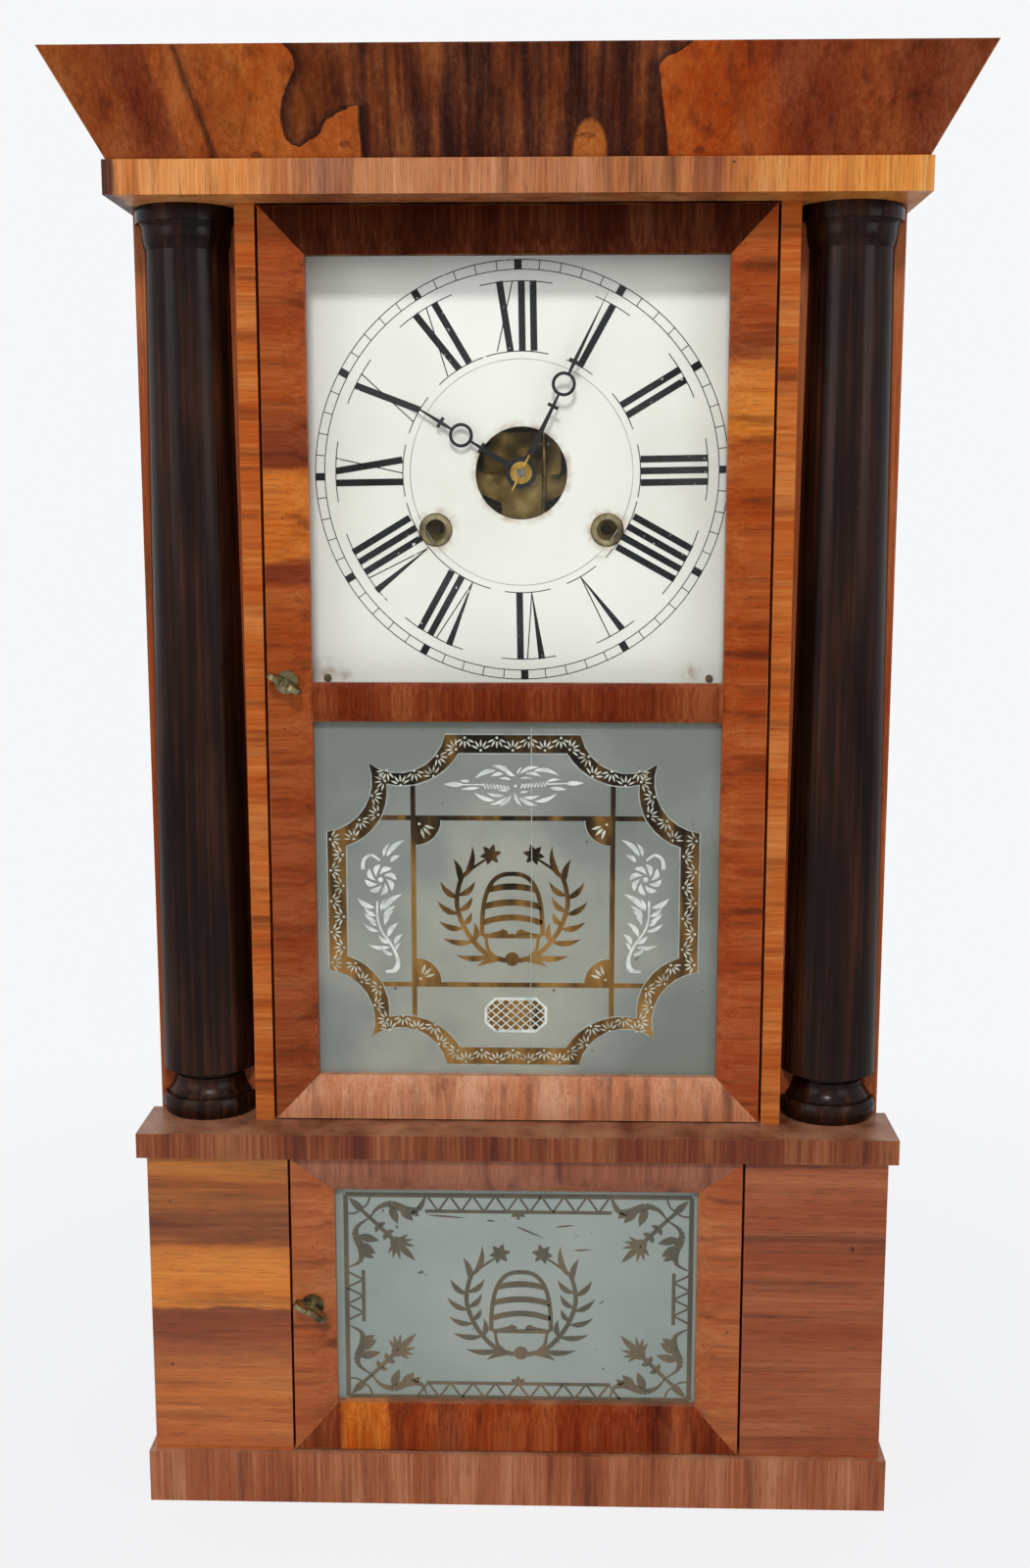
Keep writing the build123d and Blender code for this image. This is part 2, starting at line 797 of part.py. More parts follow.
with BuildPart() as upper_middle_rail:
    lip_y = upper_door_y + frame_drop
    with BuildSketch(Plane.YZ.offset(-upper_open_x)) as section:
        with BuildLine():
            Polyline(
                (lip_y, tablet_open_top),
                (upper_pane_y, tablet_open_top),
                (upper_pane_y, tablet_open_top + rebate_width),
                (upper_door_back, tablet_open_top + rebate_width),
                (upper_door_back, dial_open_low - rebate_width),
                (upper_pane_y, dial_open_low - rebate_width),
                (upper_pane_y, dial_open_low),
                (lip_y, dial_open_low),
            )
            ThreePointArc(
                (lip_y, dial_open_low),
                (lip_y - frame_drop / 2, (tablet_open_top + dial_open_low) / 2),
                (lip_y, tablet_open_top),
            )
        make_face()
    extrude(amount=2 * upper_open_x)


def pane(half_opening, z_low, z_high, y):
    """A sheet of glass that lies in the rebates round an opening."""
    lap = rebate_width - pane_play
    slab((-half_opening - lap, half_opening + lap), (y, y + pane_thick), (z_low - lap, z_high + lap))


with BuildPart() as dial_glass:
    pane(upper_open_x, dial_open_low, dial_open_top, upper_pane_y)

with BuildPart() as upper_tablet:
    pane(upper_open_x, tablet_open_low, tablet_open_top, upper_pane_y)


def turn_latch(axis, y_front, y_back):
    """A round plate, a winged turn in front of it and a tongue behind the door, upright when open."""
    neck_y = y_front - latch_plate_thick - latch_neck_length
    wing_y = neck_y - latch_lobe_radius / 2
    disc(axis, y_front - latch_plate_thick, y_front, latch_plate_radius)
    disc(axis, neck_y, y_back + latch_gap, latch_stem_radius)
    wings = Plane(
        origin=(axis[0], wing_y, axis[1]),
        x_dir=(cos(radians(latch_tilt)), 0, -sin(radians(latch_tilt))),
        z_dir=(sin(radians(latch_tilt)), 0, cos(radians(latch_tilt))),
    )
    with BuildSketch(wings) as turn:
        with Locations((-latch_lobe_spread, 0), (latch_lobe_spread, 0)):
            Circle(latch_lobe_radius)
        Rectangle(2 * latch_lobe_spread, latch_lobe_radius)
    extrude(turn.sketch, amount=latch_lobe_thick / 2, both=True)
    slab((axis[0] - latch_tongue_width / 2, axis[0] + latch_tongue_width / 2),
         (y_back + latch_gap, y_back + latch_gap + latch_tongue_thick),
         (axis[1] - latch_tongue_width / 2, axis[1] + latch_tongue_length))


with BuildPart() as upper_latch:
    turn_latch((latch_x, latch_z), upper_door_y, upper_door_back)

# Lower door
lower_low = base_height + door_end_gap
lower_high = shelf_z - door_end_gap
lower_open_x = lower_half - lower_stile_width
lower_open_top = lower_high - lower_top_width
lower_open_low = lower_low + lower_bottom_width
lower_door_back = panel_y + panel_thick
lower_latch_x = -lower_half + lower_latch_inset
lower_latch_z = lower_low + lower_latch_height


def lower_stile(side):
    """A stile of the lower door, mitred at both ends."""
    stile(side * lower_half, side * lower_open_x, lower_low, lower_high, panel_y, lower_door_back)
    mitre((side * lower_half, lower_high), (side * lower_open_x, lower_open_top), Keep.BOTTOM)
    mitre((side * lower_half, lower_low), (side * lower_open_x, lower_open_low), Keep.BOTTOM)


with BuildPart() as lower_stile_left:
    lower_stile(-1)
    disc((lower_latch_x, lower_latch_z), panel_y, lower_door_back,
         latch_stem_radius + running_gap, Mode.SUBTRACT)

with BuildPart() as lower_stile_right:
    lower_stile(1)

with BuildPart() as lower_top_rail:
    rail(lower_high, lower_open_top, lower_half, panel_y, lower_door_back)
    for side in (-1, 1):
        mitre((side * lower_half, lower_high), (side * lower_open_x, lower_open_top), Keep.TOP)
    hinge_pin(lower_half - hinge_inset, panel_y + hinge_depth, lower_high, 1)

with BuildPart() as lower_bottom_rail:
    rail(lower_low, lower_open_low, lower_half, panel_y, lower_door_back)
    for side in (-1, 1):
        mitre((side * lower_half, lower_low), (side * lower_open_x, lower_open_low), Keep.TOP)
    hinge_pin(lower_half - hinge_inset, panel_y + hinge_depth, lower_low, -1)

with BuildPart() as lower_tablet:
    pane(lower_open_x, lower_open_low, lower_open_top, panel_y + rebate_depth)

with BuildPart() as lower_latch:
    turn_latch((lower_latch_x, lower_latch_z), panel_y, lower_door_back)

# Dial sheet with its open centre, winding holes and nail holes
nail_places = [(side * (rail_inner + rail_outer) / 2, z) for side in (-1, 1)
               for z in (dial_z - nail_low, dial_z + nail_high)]

with BuildPart() as dial:
    slab((centre[0] - dial_width / 2, centre[0] + dial_width / 2), (dial_y, dial_back),
         (dial_z - dial_height / 2, dial_z + dial_height / 2))
    disc(centre, dial_y, dial_back, dial_centre_radius, Mode.SUBTRACT)
    for axis in (time_axis, strike_axis):
        disc(axis, dial_y, dial_back, grommet_sleeve_radius + running_gap, Mode.SUBTRACT)
    for place in nail_places:
        disc(place, dial_y, dial_back, nail_radius + running_gap, Mode.SUBTRACT)

# Winding grommets and dial nails
with BuildPart() as dial_fittings:
    for axis in (time_axis, strike_axis):
        disc(axis, dial_y - grommet_rim_thick, dial_y, grommet_rim_radius)
        disc(axis, dial_y, dial_back, grommet_sleeve_radius)
        disc(axis, dial_y - grommet_rim_thick, dial_back, grommet_bore_radius, Mode.SUBTRACT)
    rims = dial_fittings.edges().filter_by(GeomType.CIRCLE).group_by(Axis.Y)[0]
    chamfer(rims.filter_by(lambda edge: edge.radius > grommet_bore_radius + running_gap), 0.6 * grommet_rim_thick)
    for place in nail_places:
        disc(place, dial_y - nail_head_thick, dial_y, nail_head_radius)
        disc(place, dial_y, dial_back + nail_length - seat_gap, nail_radius)

# Movement plates
escape_front = escape_y - running_gap
pillar_places = [(centre[0] + side * (plate_half_width - pillar_inset), z) for side in (-1, 1)
                 for z in (dial_z - plate_below + pillar_inset, dial_z + plate_above - pillar_inset)]
pivots = [second_axis, third_axis, escape_axis, pin_axis, fly_axis, hammer_axis]
pendulum_y = front_plate_y - pendulum_gap
crutch_y = pendulum_y + pendulum_rod_radius + crutch_gap


def plate_outline(y):
    """The rectangle that both plates are cut from."""
    slab((centre[0] - plate_half_width, centre[0] + plate_half_width), (y, y + plate_thick),
         (dial_z - plate_below, dial_z + plate_above))


with BuildPart() as front_plate:
    plate_outline(front_plate_y)
    with BuildSketch(facing(centre, front_plate_y + plate_thick)) as windows:
        for side in (-1, 1):
            with BuildLine():
                FilletPolyline(
                    (side * strap_half, -plate_window_low),
                    (side * strap_half, -plate_brace_top),
                    (side * (strap_half + plate_brace_top), -plate_window_top),
                    (side * plate_window_side, -plate_window_top),
                    (side * plate_window_side, -plate_window_low),
                    radius=plate_corner_radius,
                    close=True,
                )
            make_face()
        with Locations((0, (upper_window_top - plate_bar_top) / 2)):
            RectangleRounded(2 * upper_window_half, upper_window_top + plate_bar_top, plate_corner_radius)
        Circle(centre_boss_radius, mode=Mode.SUBTRACT)
    extrude(amount=plate_thick, mode=Mode.SUBTRACT)
    disc(centre, front_plate_y, plate_inside, hour_pipe_radius + running_gap, Mode.SUBTRACT)
    for axis in (time_axis, strike_axis):
        disc(axis, front_plate_y, plate_inside, wind_arbor_radius + running_gap, Mode.SUBTRACT)
    for axis in pivots:
        disc(axis, front_plate_y, plate_inside, arbor_radius + running_gap, Mode.SUBTRACT)
    for place in pillar_places:
        disc(place, front_plate_y, plate_inside, pillar_pin_radius + running_gap, Mode.SUBTRACT)
    # studs for the motion wheel, the verge and the pendulum's suspension
    disc(motion_axis, plate_inside, motion_y + wheel_thick + seat_gap, arbor_radius)
    disc(verge_axis, crutch_y - crutch_radius, front_plate_y, verge_stud_radius)
    disc((verge_axis[0], verge_axis[1] + post_rise), front_plate_y - post_reach, front_plate_y, post_radius)

with BuildPart() as back_plate:
    plate_outline(back_plate_y)
    for axis in [time_axis, strike_axis, centre] + pivots:
        disc(axis, back_plate_y, back_plate_back, arbor_radius + running_gap, Mode.SUBTRACT)
    for place in pillar_places:
        disc(place, plate_inside, back_plate_y, pillar_radius)
        disc(place, front_plate_y - pillar_pin_length, plate_inside, pillar_pin_radius)
        disc(place, back_plate_back, inner_back, pillar_radius)


def winding_drum(axis, teeth, module, mate):
    """A cord drum and great wheel on an arbor with a squared end for the key."""
    train_wheel(axis, great_y, great_thick, teeth, module, mate)
    disc(axis, great_y + great_thick, drum_y, wind_arbor_radius + hub_wall)
    disc(axis, drum_y, drum_y + drum_length, drum_radius)
    for y in (drum_y, drum_y + drum_length - drum_rim_thick):
        disc(axis, y, y + drum_rim_thick, drum_rim_radius)
    disc(axis, front_plate_y - wind_arbor_reach + wind_square_length, great_y, wind_arbor_radius)
    disc(axis, drum_y + drum_length, back_plate_back + arbor_end, arbor_radius)
    with BuildSketch(facing(axis, front_plate_y - wind_arbor_reach + wind_square_length)) as square:
        Rectangle(wind_square, wind_square)
    extrude(square.sketch, amount=wind_square_length)


with BuildPart() as time_drum:
    winding_drum(time_axis, time_tooth_count, time_module, second_axis)

with BuildPart() as strike_drum:
    winding_drum(strike_axis, strike_tooth_count, strike_module, pin_axis)

# Going train
with BuildPart() as second_wheel:
    arbor(second_axis)
    lantern(second_axis, great_y, great_thick, great_wire_count, time_module, time_axis)
    train_wheel(second_axis, second_y, wheel_thick, second_tooth_count, second_module, third_axis)
    gear(second_axis, minute_y, wheel_thick, minute_tooth_count, minute_module, bearing_to(second_axis, centre))

with BuildPart() as third_wheel:
    arbor(third_axis)
    lantern(third_axis, second_y, wheel_thick, third_wire_count, second_module, second_axis)
    train_wheel(third_axis, third_y, wheel_thick, third_tooth_count, third_module, escape_axis)

with BuildPart() as escape_wheel:
    arbor(escape_axis, escape_front)
    lantern(escape_axis, third_y, wheel_thick, escape_wire_count, third_module, third_axis)
    escape_radii = (escape_root_radius, escape_tip_radius)
    wheel(escape_axis, escape_y, wheel_thick, escape_tooth_count, escape_radii, (0.7, 0.12), upright)

# Minute gear, held on the minute arbor by friction so that the hands can be set
with BuildPart() as minute_gear:
    minute_phase = bearing_to(centre, second_axis) + 180 / minute_tooth_count
    gear(centre, minute_y, wheel_thick, minute_tooth_count, minute_module, minute_phase)
    disc(centre, minute_y + wheel_thick, second_y - seat_gap, minute_arbor_radius + hub_wall)
    disc(centre, minute_y, second_y - seat_gap, minute_arbor_radius + running_gap, Mode.SUBTRACT)

# Motion work
hour_hand_y = dial_y - hour_hand_gap - hand_thick
minute_hand_y = hour_hand_y - minute_hand_gap - hand_thick
collet_y = minute_hand_y - collet_thick
pin_y = collet_y - 0.8 * taper_pin_radius
tip_y = collet_y - arbor_tip
down = bearing_to(centre, motion_axis)

with BuildPart() as minute_arbor:
    disc(centre, tip_y, second_y, minute_arbor_radius)
    disc(centre, second_y, back_plate_back + arbor_end, arbor_radius)
    gear(centre, motion_y, wheel_thick, cannon_tooth_count, motion_module, down)
    across_pin = Plane(origin=(centre[0], pin_y, centre[1]), x_dir=(0, 1, 0),
                       z_dir=(cos(radians(minute_hand_angle)), 0, sin(radians(minute_hand_angle))))
    with BuildSketch(across_pin) as pin_hole:
        Circle(taper_pin_radius)
    extrude(pin_hole.sketch, amount=2 * minute_arbor_radius, both=True, mode=Mode.SUBTRACT)

with BuildPart() as motion_wheel:
    motion_phase = down + 180 + 180 / motion_tooth_count
    gear(motion_axis, motion_y, wheel_thick, motion_tooth_count, motion_module, motion_phase)
    gear(motion_axis, hour_y, motion_y - hour_y, motion_leaf_count, motion_module, down + 180)
    disc(motion_axis, hour_y, motion_y + wheel_thick, arbor_radius + running_gap, Mode.SUBTRACT)

with BuildPart() as hour_wheel:
    gear(centre, hour_y, wheel_thick, hour_tooth_count, motion_module, down + 180 / hour_tooth_count)
    disc(centre, hour_hand_y, hour_y, hour_pipe_radius)
    disc(centre, hour_hand_y, hour_y + wheel_thick, minute_arbor_radius + running_gap, Mode.SUBTRACT)


def hand(y, angle, bore_radius, boss_radius, ring_place, length):
    """A flat hand with a ring and two small crosses between its root and its tip."""
    plane = Plane(origin=(centre[0], y + hand_thick, centre[1]),
                  x_dir=(cos(radians(angle)), 0, sin(radians(angle))), z_dir=(0, -1, 0))
    root_end = ring_place - ring_outer_radius
    tip_start = ring_place + ring_outer_radius
    overlap = ring_outer_radius - ring_inner_radius
    with BuildSketch(plane) as shape:
        with BuildLine():
            Polyline((0, -hand_root_width / 2), (root_end + overlap, -hand_tip_width / 2),
                     (root_end + overlap, hand_tip_width / 2), (0, hand_root_width / 2), close=True)
        make_face()
        with BuildLine():
            Polyline((tip_start - overlap, -hand_tip_width / 2), (tip_start + cross_length, -hand_tip_width),
                     (length, 0), (tip_start + cross_length, hand_tip_width),
                     (tip_start - overlap, hand_tip_width / 2), close=True)
        make_face()
        Circle(boss_radius)
        for place in (ring_place - cross_reach, ring_place + cross_reach):
            with Locations((place, 0)):
                Rectangle(cross_width, cross_length)
        with Locations((ring_place, 0)):
            Circle(ring_outer_radius)
            Circle(ring_inner_radius, mode=Mode.SUBTRACT)
        Circle(bore_radius, mode=Mode.SUBTRACT)
    extrude(shape.sketch, amount=hand_thick)


with BuildPart() as hour_hand:
    hand(hour_hand_y, hour_hand_angle, hour_pipe_radius, hour_hub_radius, hour_ring_place, hour_hand_length)

with BuildPart() as minute_hand:
    hand(minute_hand_y, minute_hand_angle, minute_arbor_radius, hub_radius,
         minute_ring_place, minute_hand_length)

# Brass collet washer and the taper pin that holds the hands on
with BuildPart() as hand_collet:
    disc(centre, collet_y, minute_hand_y, collet_radius)
    disc(centre, collet_y, minute_hand_y, minute_arbor_radius, Mode.SUBTRACT)
    with BuildSketch(across_pin) as taper_pin:
        Circle(taper_pin_radius)
    extrude(taper_pin.sketch, amount=taper_pin_length / 2, both=True)

# Verge: a bent strip over the escape wheel, with the crutch that guides the pendulum
with BuildPart() as verge:
    arc_inner = escape_tip_radius + verge_clearance + verge_lift
    arc_outer = arc_inner + verge_strip
    pallet_foot = escape_tip_radius + verge_clearance
    with BuildSketch(facing(escape_axis, escape_y + wheel_thick)) as strip:
        with BuildLine():
            low = upright - verge_span
            high = upright + verge_span
            inner_ends = [polar((0, 0), arc_inner, angle) for angle in (low, upright, high)]
            outer_ends = [polar((0, 0), arc_outer, angle) for angle in (low, upright, high)]
            ThreePointArc(*inner_ends)
            Line(inner_ends[2], outer_ends[2])
            ThreePointArc(*outer_ends)
            Line(outer_ends[0], inner_ends[0])
        make_face()
        for angle, lean in ((low, 1), (high, -1)):
            foot = polar((0, 0), pallet_foot, angle)
            with BuildLine():
                Polyline(foot, polar((0, 0), arc_outer, angle), polar((0, 0), arc_outer, angle + lean * 4),
                         close=True)
            make_face()
        with Locations((0, verge_rise)):
            Circle(verge_hub_radius)
    extrude(strip.sketch, amount=wheel_thick)
    disc(verge_axis, crutch_y - crutch_radius, escape_y, verge_hub_radius)
    disc(verge_axis, crutch_y - crutch_radius, escape_y + wheel_thick,
         verge_stud_radius + running_gap, Mode.SUBTRACT)
    loop_half = pendulum_rod_radius + crutch_gap
    crutch_low = verge_axis[1] - crutch_length
    crutch_top = verge_axis[1] - verge_hub_radius + crutch_radius
    slab((verge_axis[0] - crutch_radius, verge_axis[0] + crutch_radius),
         (crutch_y - crutch_radius, crutch_y + crutch_radius), (crutch_low, crutch_top))
    slab((verge_axis[0] - loop_half - crutch_radius, verge_axis[0] + loop_half + crutch_radius),
         (crutch_y - crutch_radius, crutch_y + crutch_radius), (crutch_low, crutch_low + 2 * crutch_radius))
    for side in (-1, 1):
        slab((verge_axis[0] + side * loop_half - crutch_radius, verge_axis[0] + side * loop_half + crutch_radius),
             (pendulum_y - pendulum_rod_radius - crutch_radius, crutch_y + crutch_radius),
             (crutch_low, crutch_low + 2 * crutch_radius))

# Pendulum: suspension spring, rod, lens bob and rating nut
with BuildPart() as pendulum:
    spring_top = verge_axis[1] + post_rise - post_radius - seat_gap
    bob_z = verge_axis[1] - pendulum_length
    slab((verge_axis[0] - spring_width / 2, verge_axis[0] + spring_width / 2),
         (pendulum_y - spring_thick / 2, pendulum_y + spring_thick / 2), (spring_top - spring_length, spring_top))
    rod_top = spring_top - spring_length + 2 * pendulum_rod_radius
    rod_low = bob_z - bob_radius - 2 * nut_height
    with Locations((verge_axis[0], pendulum_y, (rod_top + rod_low) / 2)):
        Cylinder(pendulum_rod_radius, rod_top - rod_low)
    with Locations((verge_axis[0], pendulum_y, bob_z - bob_radius - nut_height / 2 - seat_gap)):
        Cylinder(nut_radius, nut_height)
    with BuildSketch(Plane(origin=(verge_axis[0], pendulum_y, bob_z), x_dir=(1, 0, 0), z_dir=(0, 0, 1))) as lens:
        with BuildLine():
            ThreePointArc((0, -bob_thick / 2), (bob_radius * 0.62, -bob_thick * 0.33), (bob_radius, 0))
            ThreePointArc((bob_radius, 0), (bob_radius * 0.62, bob_thick * 0.33), (0, bob_thick / 2))
            Line((0, bob_thick / 2), (0, -bob_thick / 2))
        make_face()
    revolve(lens.sketch, axis=Axis((verge_axis[0], pendulum_y, bob_z), (0, 1, 0)))

# Striking train
with BuildPart() as pin_wheel:
    arbor(pin_axis)
    lantern(pin_axis, great_y, great_thick, great_wire_count, strike_module, strike_axis)
    train_wheel(pin_axis, second_y, wheel_thick, pin_tooth_count, pin_module, fly_axis)
    with BuildSketch(facing(pin_axis, second_y + wheel_thick + strike_pin_length)) as pins:
        with PolarLocations(pin_circle_radius, strike_pin_count):
            Circle(strike_pin_radius)
    extrude(pins.sketch, amount=strike_pin_length)

with BuildPart() as fly:
    arbor(fly_axis)
    lantern(fly_axis, second_y, wheel_thick, fly_wire_count, pin_module, pin_axis)
    fly_y = third_y - wheel_thick
    slab((fly_axis[0] - fly_span / 2, fly_axis[0] + fly_span / 2), (fly_y, fly_y + fly_depth),
         (fly_axis[1] - fly_thick / 2, fly_axis[1] + fly_thick / 2))

# Hammer on its arbor: a tail up towards the strike pins and a long rod down to the gong
gong_outer = gong_start_radius + (gong_turn_count - 0.5) * gong_pitch + gong_wire_width / 2
gong_y = hammer_y
head = (gong_axis[0] + gong_outer + gong_pitch / 2 + gong_gap + hammer_head_length / 2, gong_axis[1])
rod_length = hypot(head[0] - hammer_axis[0], head[1] - hammer_axis[1])
rod_bearing = bearing_to(hammer_axis, head)

with BuildPart() as hammer:
    arbor(hammer_axis)
    disc(hammer_axis, third_y - 2 * wheel_thick, hammer_y + hammer_rod_radius, arbor_radius + hub_wall)
    rod_plane = Plane(origin=(hammer_axis[0], hammer_y, hammer_axis[1]), x_dir=(0, 1, 0),
                      z_dir=(cos(radians(rod_bearing)), 0, sin(radians(rod_bearing))))
    with BuildSketch(rod_plane) as rod:
        Circle(hammer_rod_radius)
    extrude(rod.sketch, amount=rod_length)
    with Locations(Location((head[0], gong_y, head[1]), (0, 90, 0))):
        Cylinder(hammer_head_radius, hammer_head_length)
    tail_bearing = bearing_to(hammer_axis, pin_axis)
    tail_plane = Plane(origin=(hammer_axis[0], third_y - wheel_thick, hammer_axis[1]),
                       x_dir=(cos(radians(tail_bearing)), 0, sin(radians(tail_bearing))), z_dir=(0, -1, 0))
    with BuildSketch(tail_plane) as tail:
        with Locations((hammer_tail_length / 2, 0)):
            Rectangle(hammer_tail_length, hammer_tail_width)
    extrude(tail.sketch, amount=wheel_thick)

# Coil gong: a spiral of half turns on an iron post
spiral_plane = facing(gong_axis, gong_y)
half_turns = []
for step in range(2 * gong_turn_count):
    reach = gong_start_radius + step * gong_pitch / 2
    middle_x = 0 if step % 2 == 0 else gong_pitch / 2
    over = 1 if step % 2 == 0 else -1
    half_turns.append(((middle_x + over * reach, 0), (middle_x, over * reach), (middle_x - over * reach, 0)))

with BuildPart() as gong:
    with BuildLine(spiral_plane) as spiral:
        for start, middle, end in half_turns:
            ThreePointArc(start, middle, end)
    with BuildSketch(Plane(origin=spiral.line @ 0, x_dir=(1, 0, 0), z_dir=spiral.line % 0)):
        Rectangle(gong_wire_width, gong_wire_depth)
    sweep()
    slab((gong_axis[0], gong_axis[0] + gong_start_radius + gong_wire_width / 2),
         (gong_y - gong_wire_depth / 2, gong_y + gong_wire_depth / 2),
         (gong_axis[1] - gong_wire_width, gong_axis[1]))
    disc(gong_axis, gong_y - gong_wire_depth, inner_back, gong_post_radius)
    disc(gong_axis, inner_back - gong_plate_thick, inner_back, gong_plate_radius)

print("gong: least gap between turns", round(gong_pitch - gong_wire_width, 2), "mm")


def weight(side):
    """An iron weight with bevelled upright edges and a cast eye, standing in its channel."""
    with BuildSketch(Plane.XY.offset(bottom_top)) as plan:
        with Locations((side * weight_x, weight_y)):
            Rectangle(weight_width, weight_depth)
        chamfer(plan.vertices(), weight_edge)
    extrude(plan.sketch, amount=weight_height)
    eye_z = bottom_top + weight_height + weight_neck_length + weight_eye_hole
    eye = (side * weight_x, eye_z)
    with Locations((side * weight_x, weight_y, bottom_top + weight_height + weight_neck_length / 2)):
        Cylinder(weight_neck_radius, weight_neck_length)
    disc(eye, weight_y - weight_eye_thick / 2, weight_y + weight_eye_thick / 2, weight_eye_radius)
    disc(eye, weight_y - weight_eye_thick / 2, weight_y + weight_eye_thick / 2, weight_eye_hole, Mode.SUBTRACT)


with BuildPart() as time_weight:
    weight(-1)

with BuildPart() as strike_weight:
    weight(1)


def pulley(side):
    """A grooved pulley turning with its axle between the face board and the backboard."""
    axis = (side * weight_x, pulley_z)
    axle_front = face_back - pulley_axle_seat + seat_gap
    axle_back = inner_back + pulley_axle_seat - seat_gap
    disc(axis, axle_front, axle_back, pulley_axle_radius)
    with BuildSketch(Plane(origin=(axis[0], weight_y, axis[1]), x_dir=(1, 0, 0), z_dir=(0, 0, 1))) as profile:
        with BuildLine():
            Polyline((0, -pulley_width / 2), (pulley_radius, -pulley_width / 2),
                     (pulley_radius - pulley_groove, 0), (pulley_radius, pulley_width / 2),
                     (0, pulley_width / 2), close=True)
        make_face()
    revolve(profile.sketch, axis=Axis((axis[0], weight_y, axis[1]), (0, 1, 0)))


with BuildPart() as pulley_left:
    pulley(-1)

with BuildPart() as pulley_right:
    pulley(1)

pieces = {
    "backboard": backboard,
    "bottom_board": bottom_board,
    "side_board_left": side_board_left,
    "side_board_right": side_board_right,
    "base_moulding": base_moulding,
    "lower_panel_left": lower_panel_left,
    "lower_panel_right": lower_panel_right,
    "mid_shelf": mid_shelf,
    "top_board": top_board,
    "cornice_front": cornice_front,
    "cornice_return_left": cornice_return_left,
    "cornice_return_right": cornice_return_right,
    "face_board_left": face_board_left,
    "face_board_right": face_board_right,
    "column_left": column_left,
    "column_right": column_right,
    "jamb_left": jamb_left,
    "jamb_right": jamb_right,
    "inner_rail_left": inner_rail_left,
    "inner_rail_right": inner_rail_right,
    "upper_stile_left": upper_stile_left,
    "upper_stile_right": upper_stile_right,
    "upper_top_rail": upper_top_rail,
    "upper_middle_rail": upper_middle_rail,
    "upper_bottom_rail": upper_bottom_rail,
    "dial_glass": dial_glass,
    "upper_tablet": upper_tablet,
    "upper_latch": upper_latch,
    "lower_stile_left": lower_stile_left,
    "lower_stile_right": lower_stile_right,
    "lower_top_rail": lower_top_rail,
    "lower_bottom_rail": lower_bottom_rail,
    "lower_tablet": lower_tablet,
    "lower_latch": lower_latch,
    "dial": dial,
    "dial_fittings": dial_fittings,
    "front_plate": front_plate,
    "back_plate": back_plate,
    "time_drum": time_drum,
    "strike_drum": strike_drum,
    "second_wheel": second_wheel,
    "third_wheel": third_wheel,
    "escape_wheel": escape_wheel,
    "minute_gear": minute_gear,
    "minute_arbor": minute_arbor,
    "motion_wheel": motion_wheel,
    "hour_wheel": hour_wheel,
    "hour_hand": hour_hand,
    "minute_hand": minute_hand,
    "hand_collet": hand_collet,
    "verge": verge,
    "pendulum": pendulum,
    "pin_wheel": pin_wheel,
    "fly": fly,
    "hammer": hammer,
    "gong": gong,
    "time_weight": time_weight,
    "strike_weight": strike_weight,
    "pulley_left": pulley_left,
    "pulley_right": pulley_right,
}

for name, piece in pieces.items():
    piece.part.label = name
    export_step(piece.part, f"parts/{name}.step")
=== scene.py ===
from math import atan2, cos, degrees, hypot, pi, radians, sin

import bpy
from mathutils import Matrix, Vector


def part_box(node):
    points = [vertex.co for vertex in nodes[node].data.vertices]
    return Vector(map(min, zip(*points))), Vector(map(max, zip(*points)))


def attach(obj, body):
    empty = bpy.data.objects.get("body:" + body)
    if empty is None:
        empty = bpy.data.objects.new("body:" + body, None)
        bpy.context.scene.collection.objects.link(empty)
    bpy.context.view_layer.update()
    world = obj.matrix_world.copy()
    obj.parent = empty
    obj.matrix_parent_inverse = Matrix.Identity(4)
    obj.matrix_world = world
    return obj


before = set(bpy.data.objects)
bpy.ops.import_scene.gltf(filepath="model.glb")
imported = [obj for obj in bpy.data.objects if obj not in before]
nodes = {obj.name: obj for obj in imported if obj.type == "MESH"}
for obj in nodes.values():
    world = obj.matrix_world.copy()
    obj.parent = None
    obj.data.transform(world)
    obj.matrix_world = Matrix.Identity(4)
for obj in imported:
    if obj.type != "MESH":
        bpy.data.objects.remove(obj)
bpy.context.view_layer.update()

# Mahogany case
# The case is veneered in figured mahogany under old shellac. Each board has its own run of grain:
# upright on cornice, shelf, base and door rails, level on stiles, jambs and the lower panels.


def linear(code):
    """The linear colour of an sRGB hex code."""
    shades = [int(code[i:i + 2], 16) / 255 for i in (1, 3, 5)]
    return [s / 12.92 if s <= 0.04045 else ((s + 0.055) / 1.055) ** 2.4 for s in shades] + [1.0]


def put(tree, kind, settings={}):
    """Adds a node with its settings and links.

    A setting is an option, or an input by name or number, which takes a value or another node's output. The
    stops of a ramp are places with hex colours or plain levels. A MapRange takes a value, the range it has
    and the range it is stretched to, from 0 to 1 where none is given."""
    node = tree.nodes.new("ShaderNode" + kind)
    for key, value in settings.items():
        if key == "stops":
            band = node.color_ramp.elements
            band.remove(band[1])
            for count, (place, shade) in enumerate(value):
                stop = band.new(place) if count else band[0]
                stop.position = place
                stop.color = linear(shade) if isinstance(shade, str) else (shade, shade, shade, 1.0)
        elif isinstance(value, bpy.types.NodeSocket):
            tree.links.new(value, node.inputs[key])
        elif isinstance(key, str) and hasattr(node, key):
            setattr(node, key, value)
        else:
            node.inputs[key].default_value = value
    return node


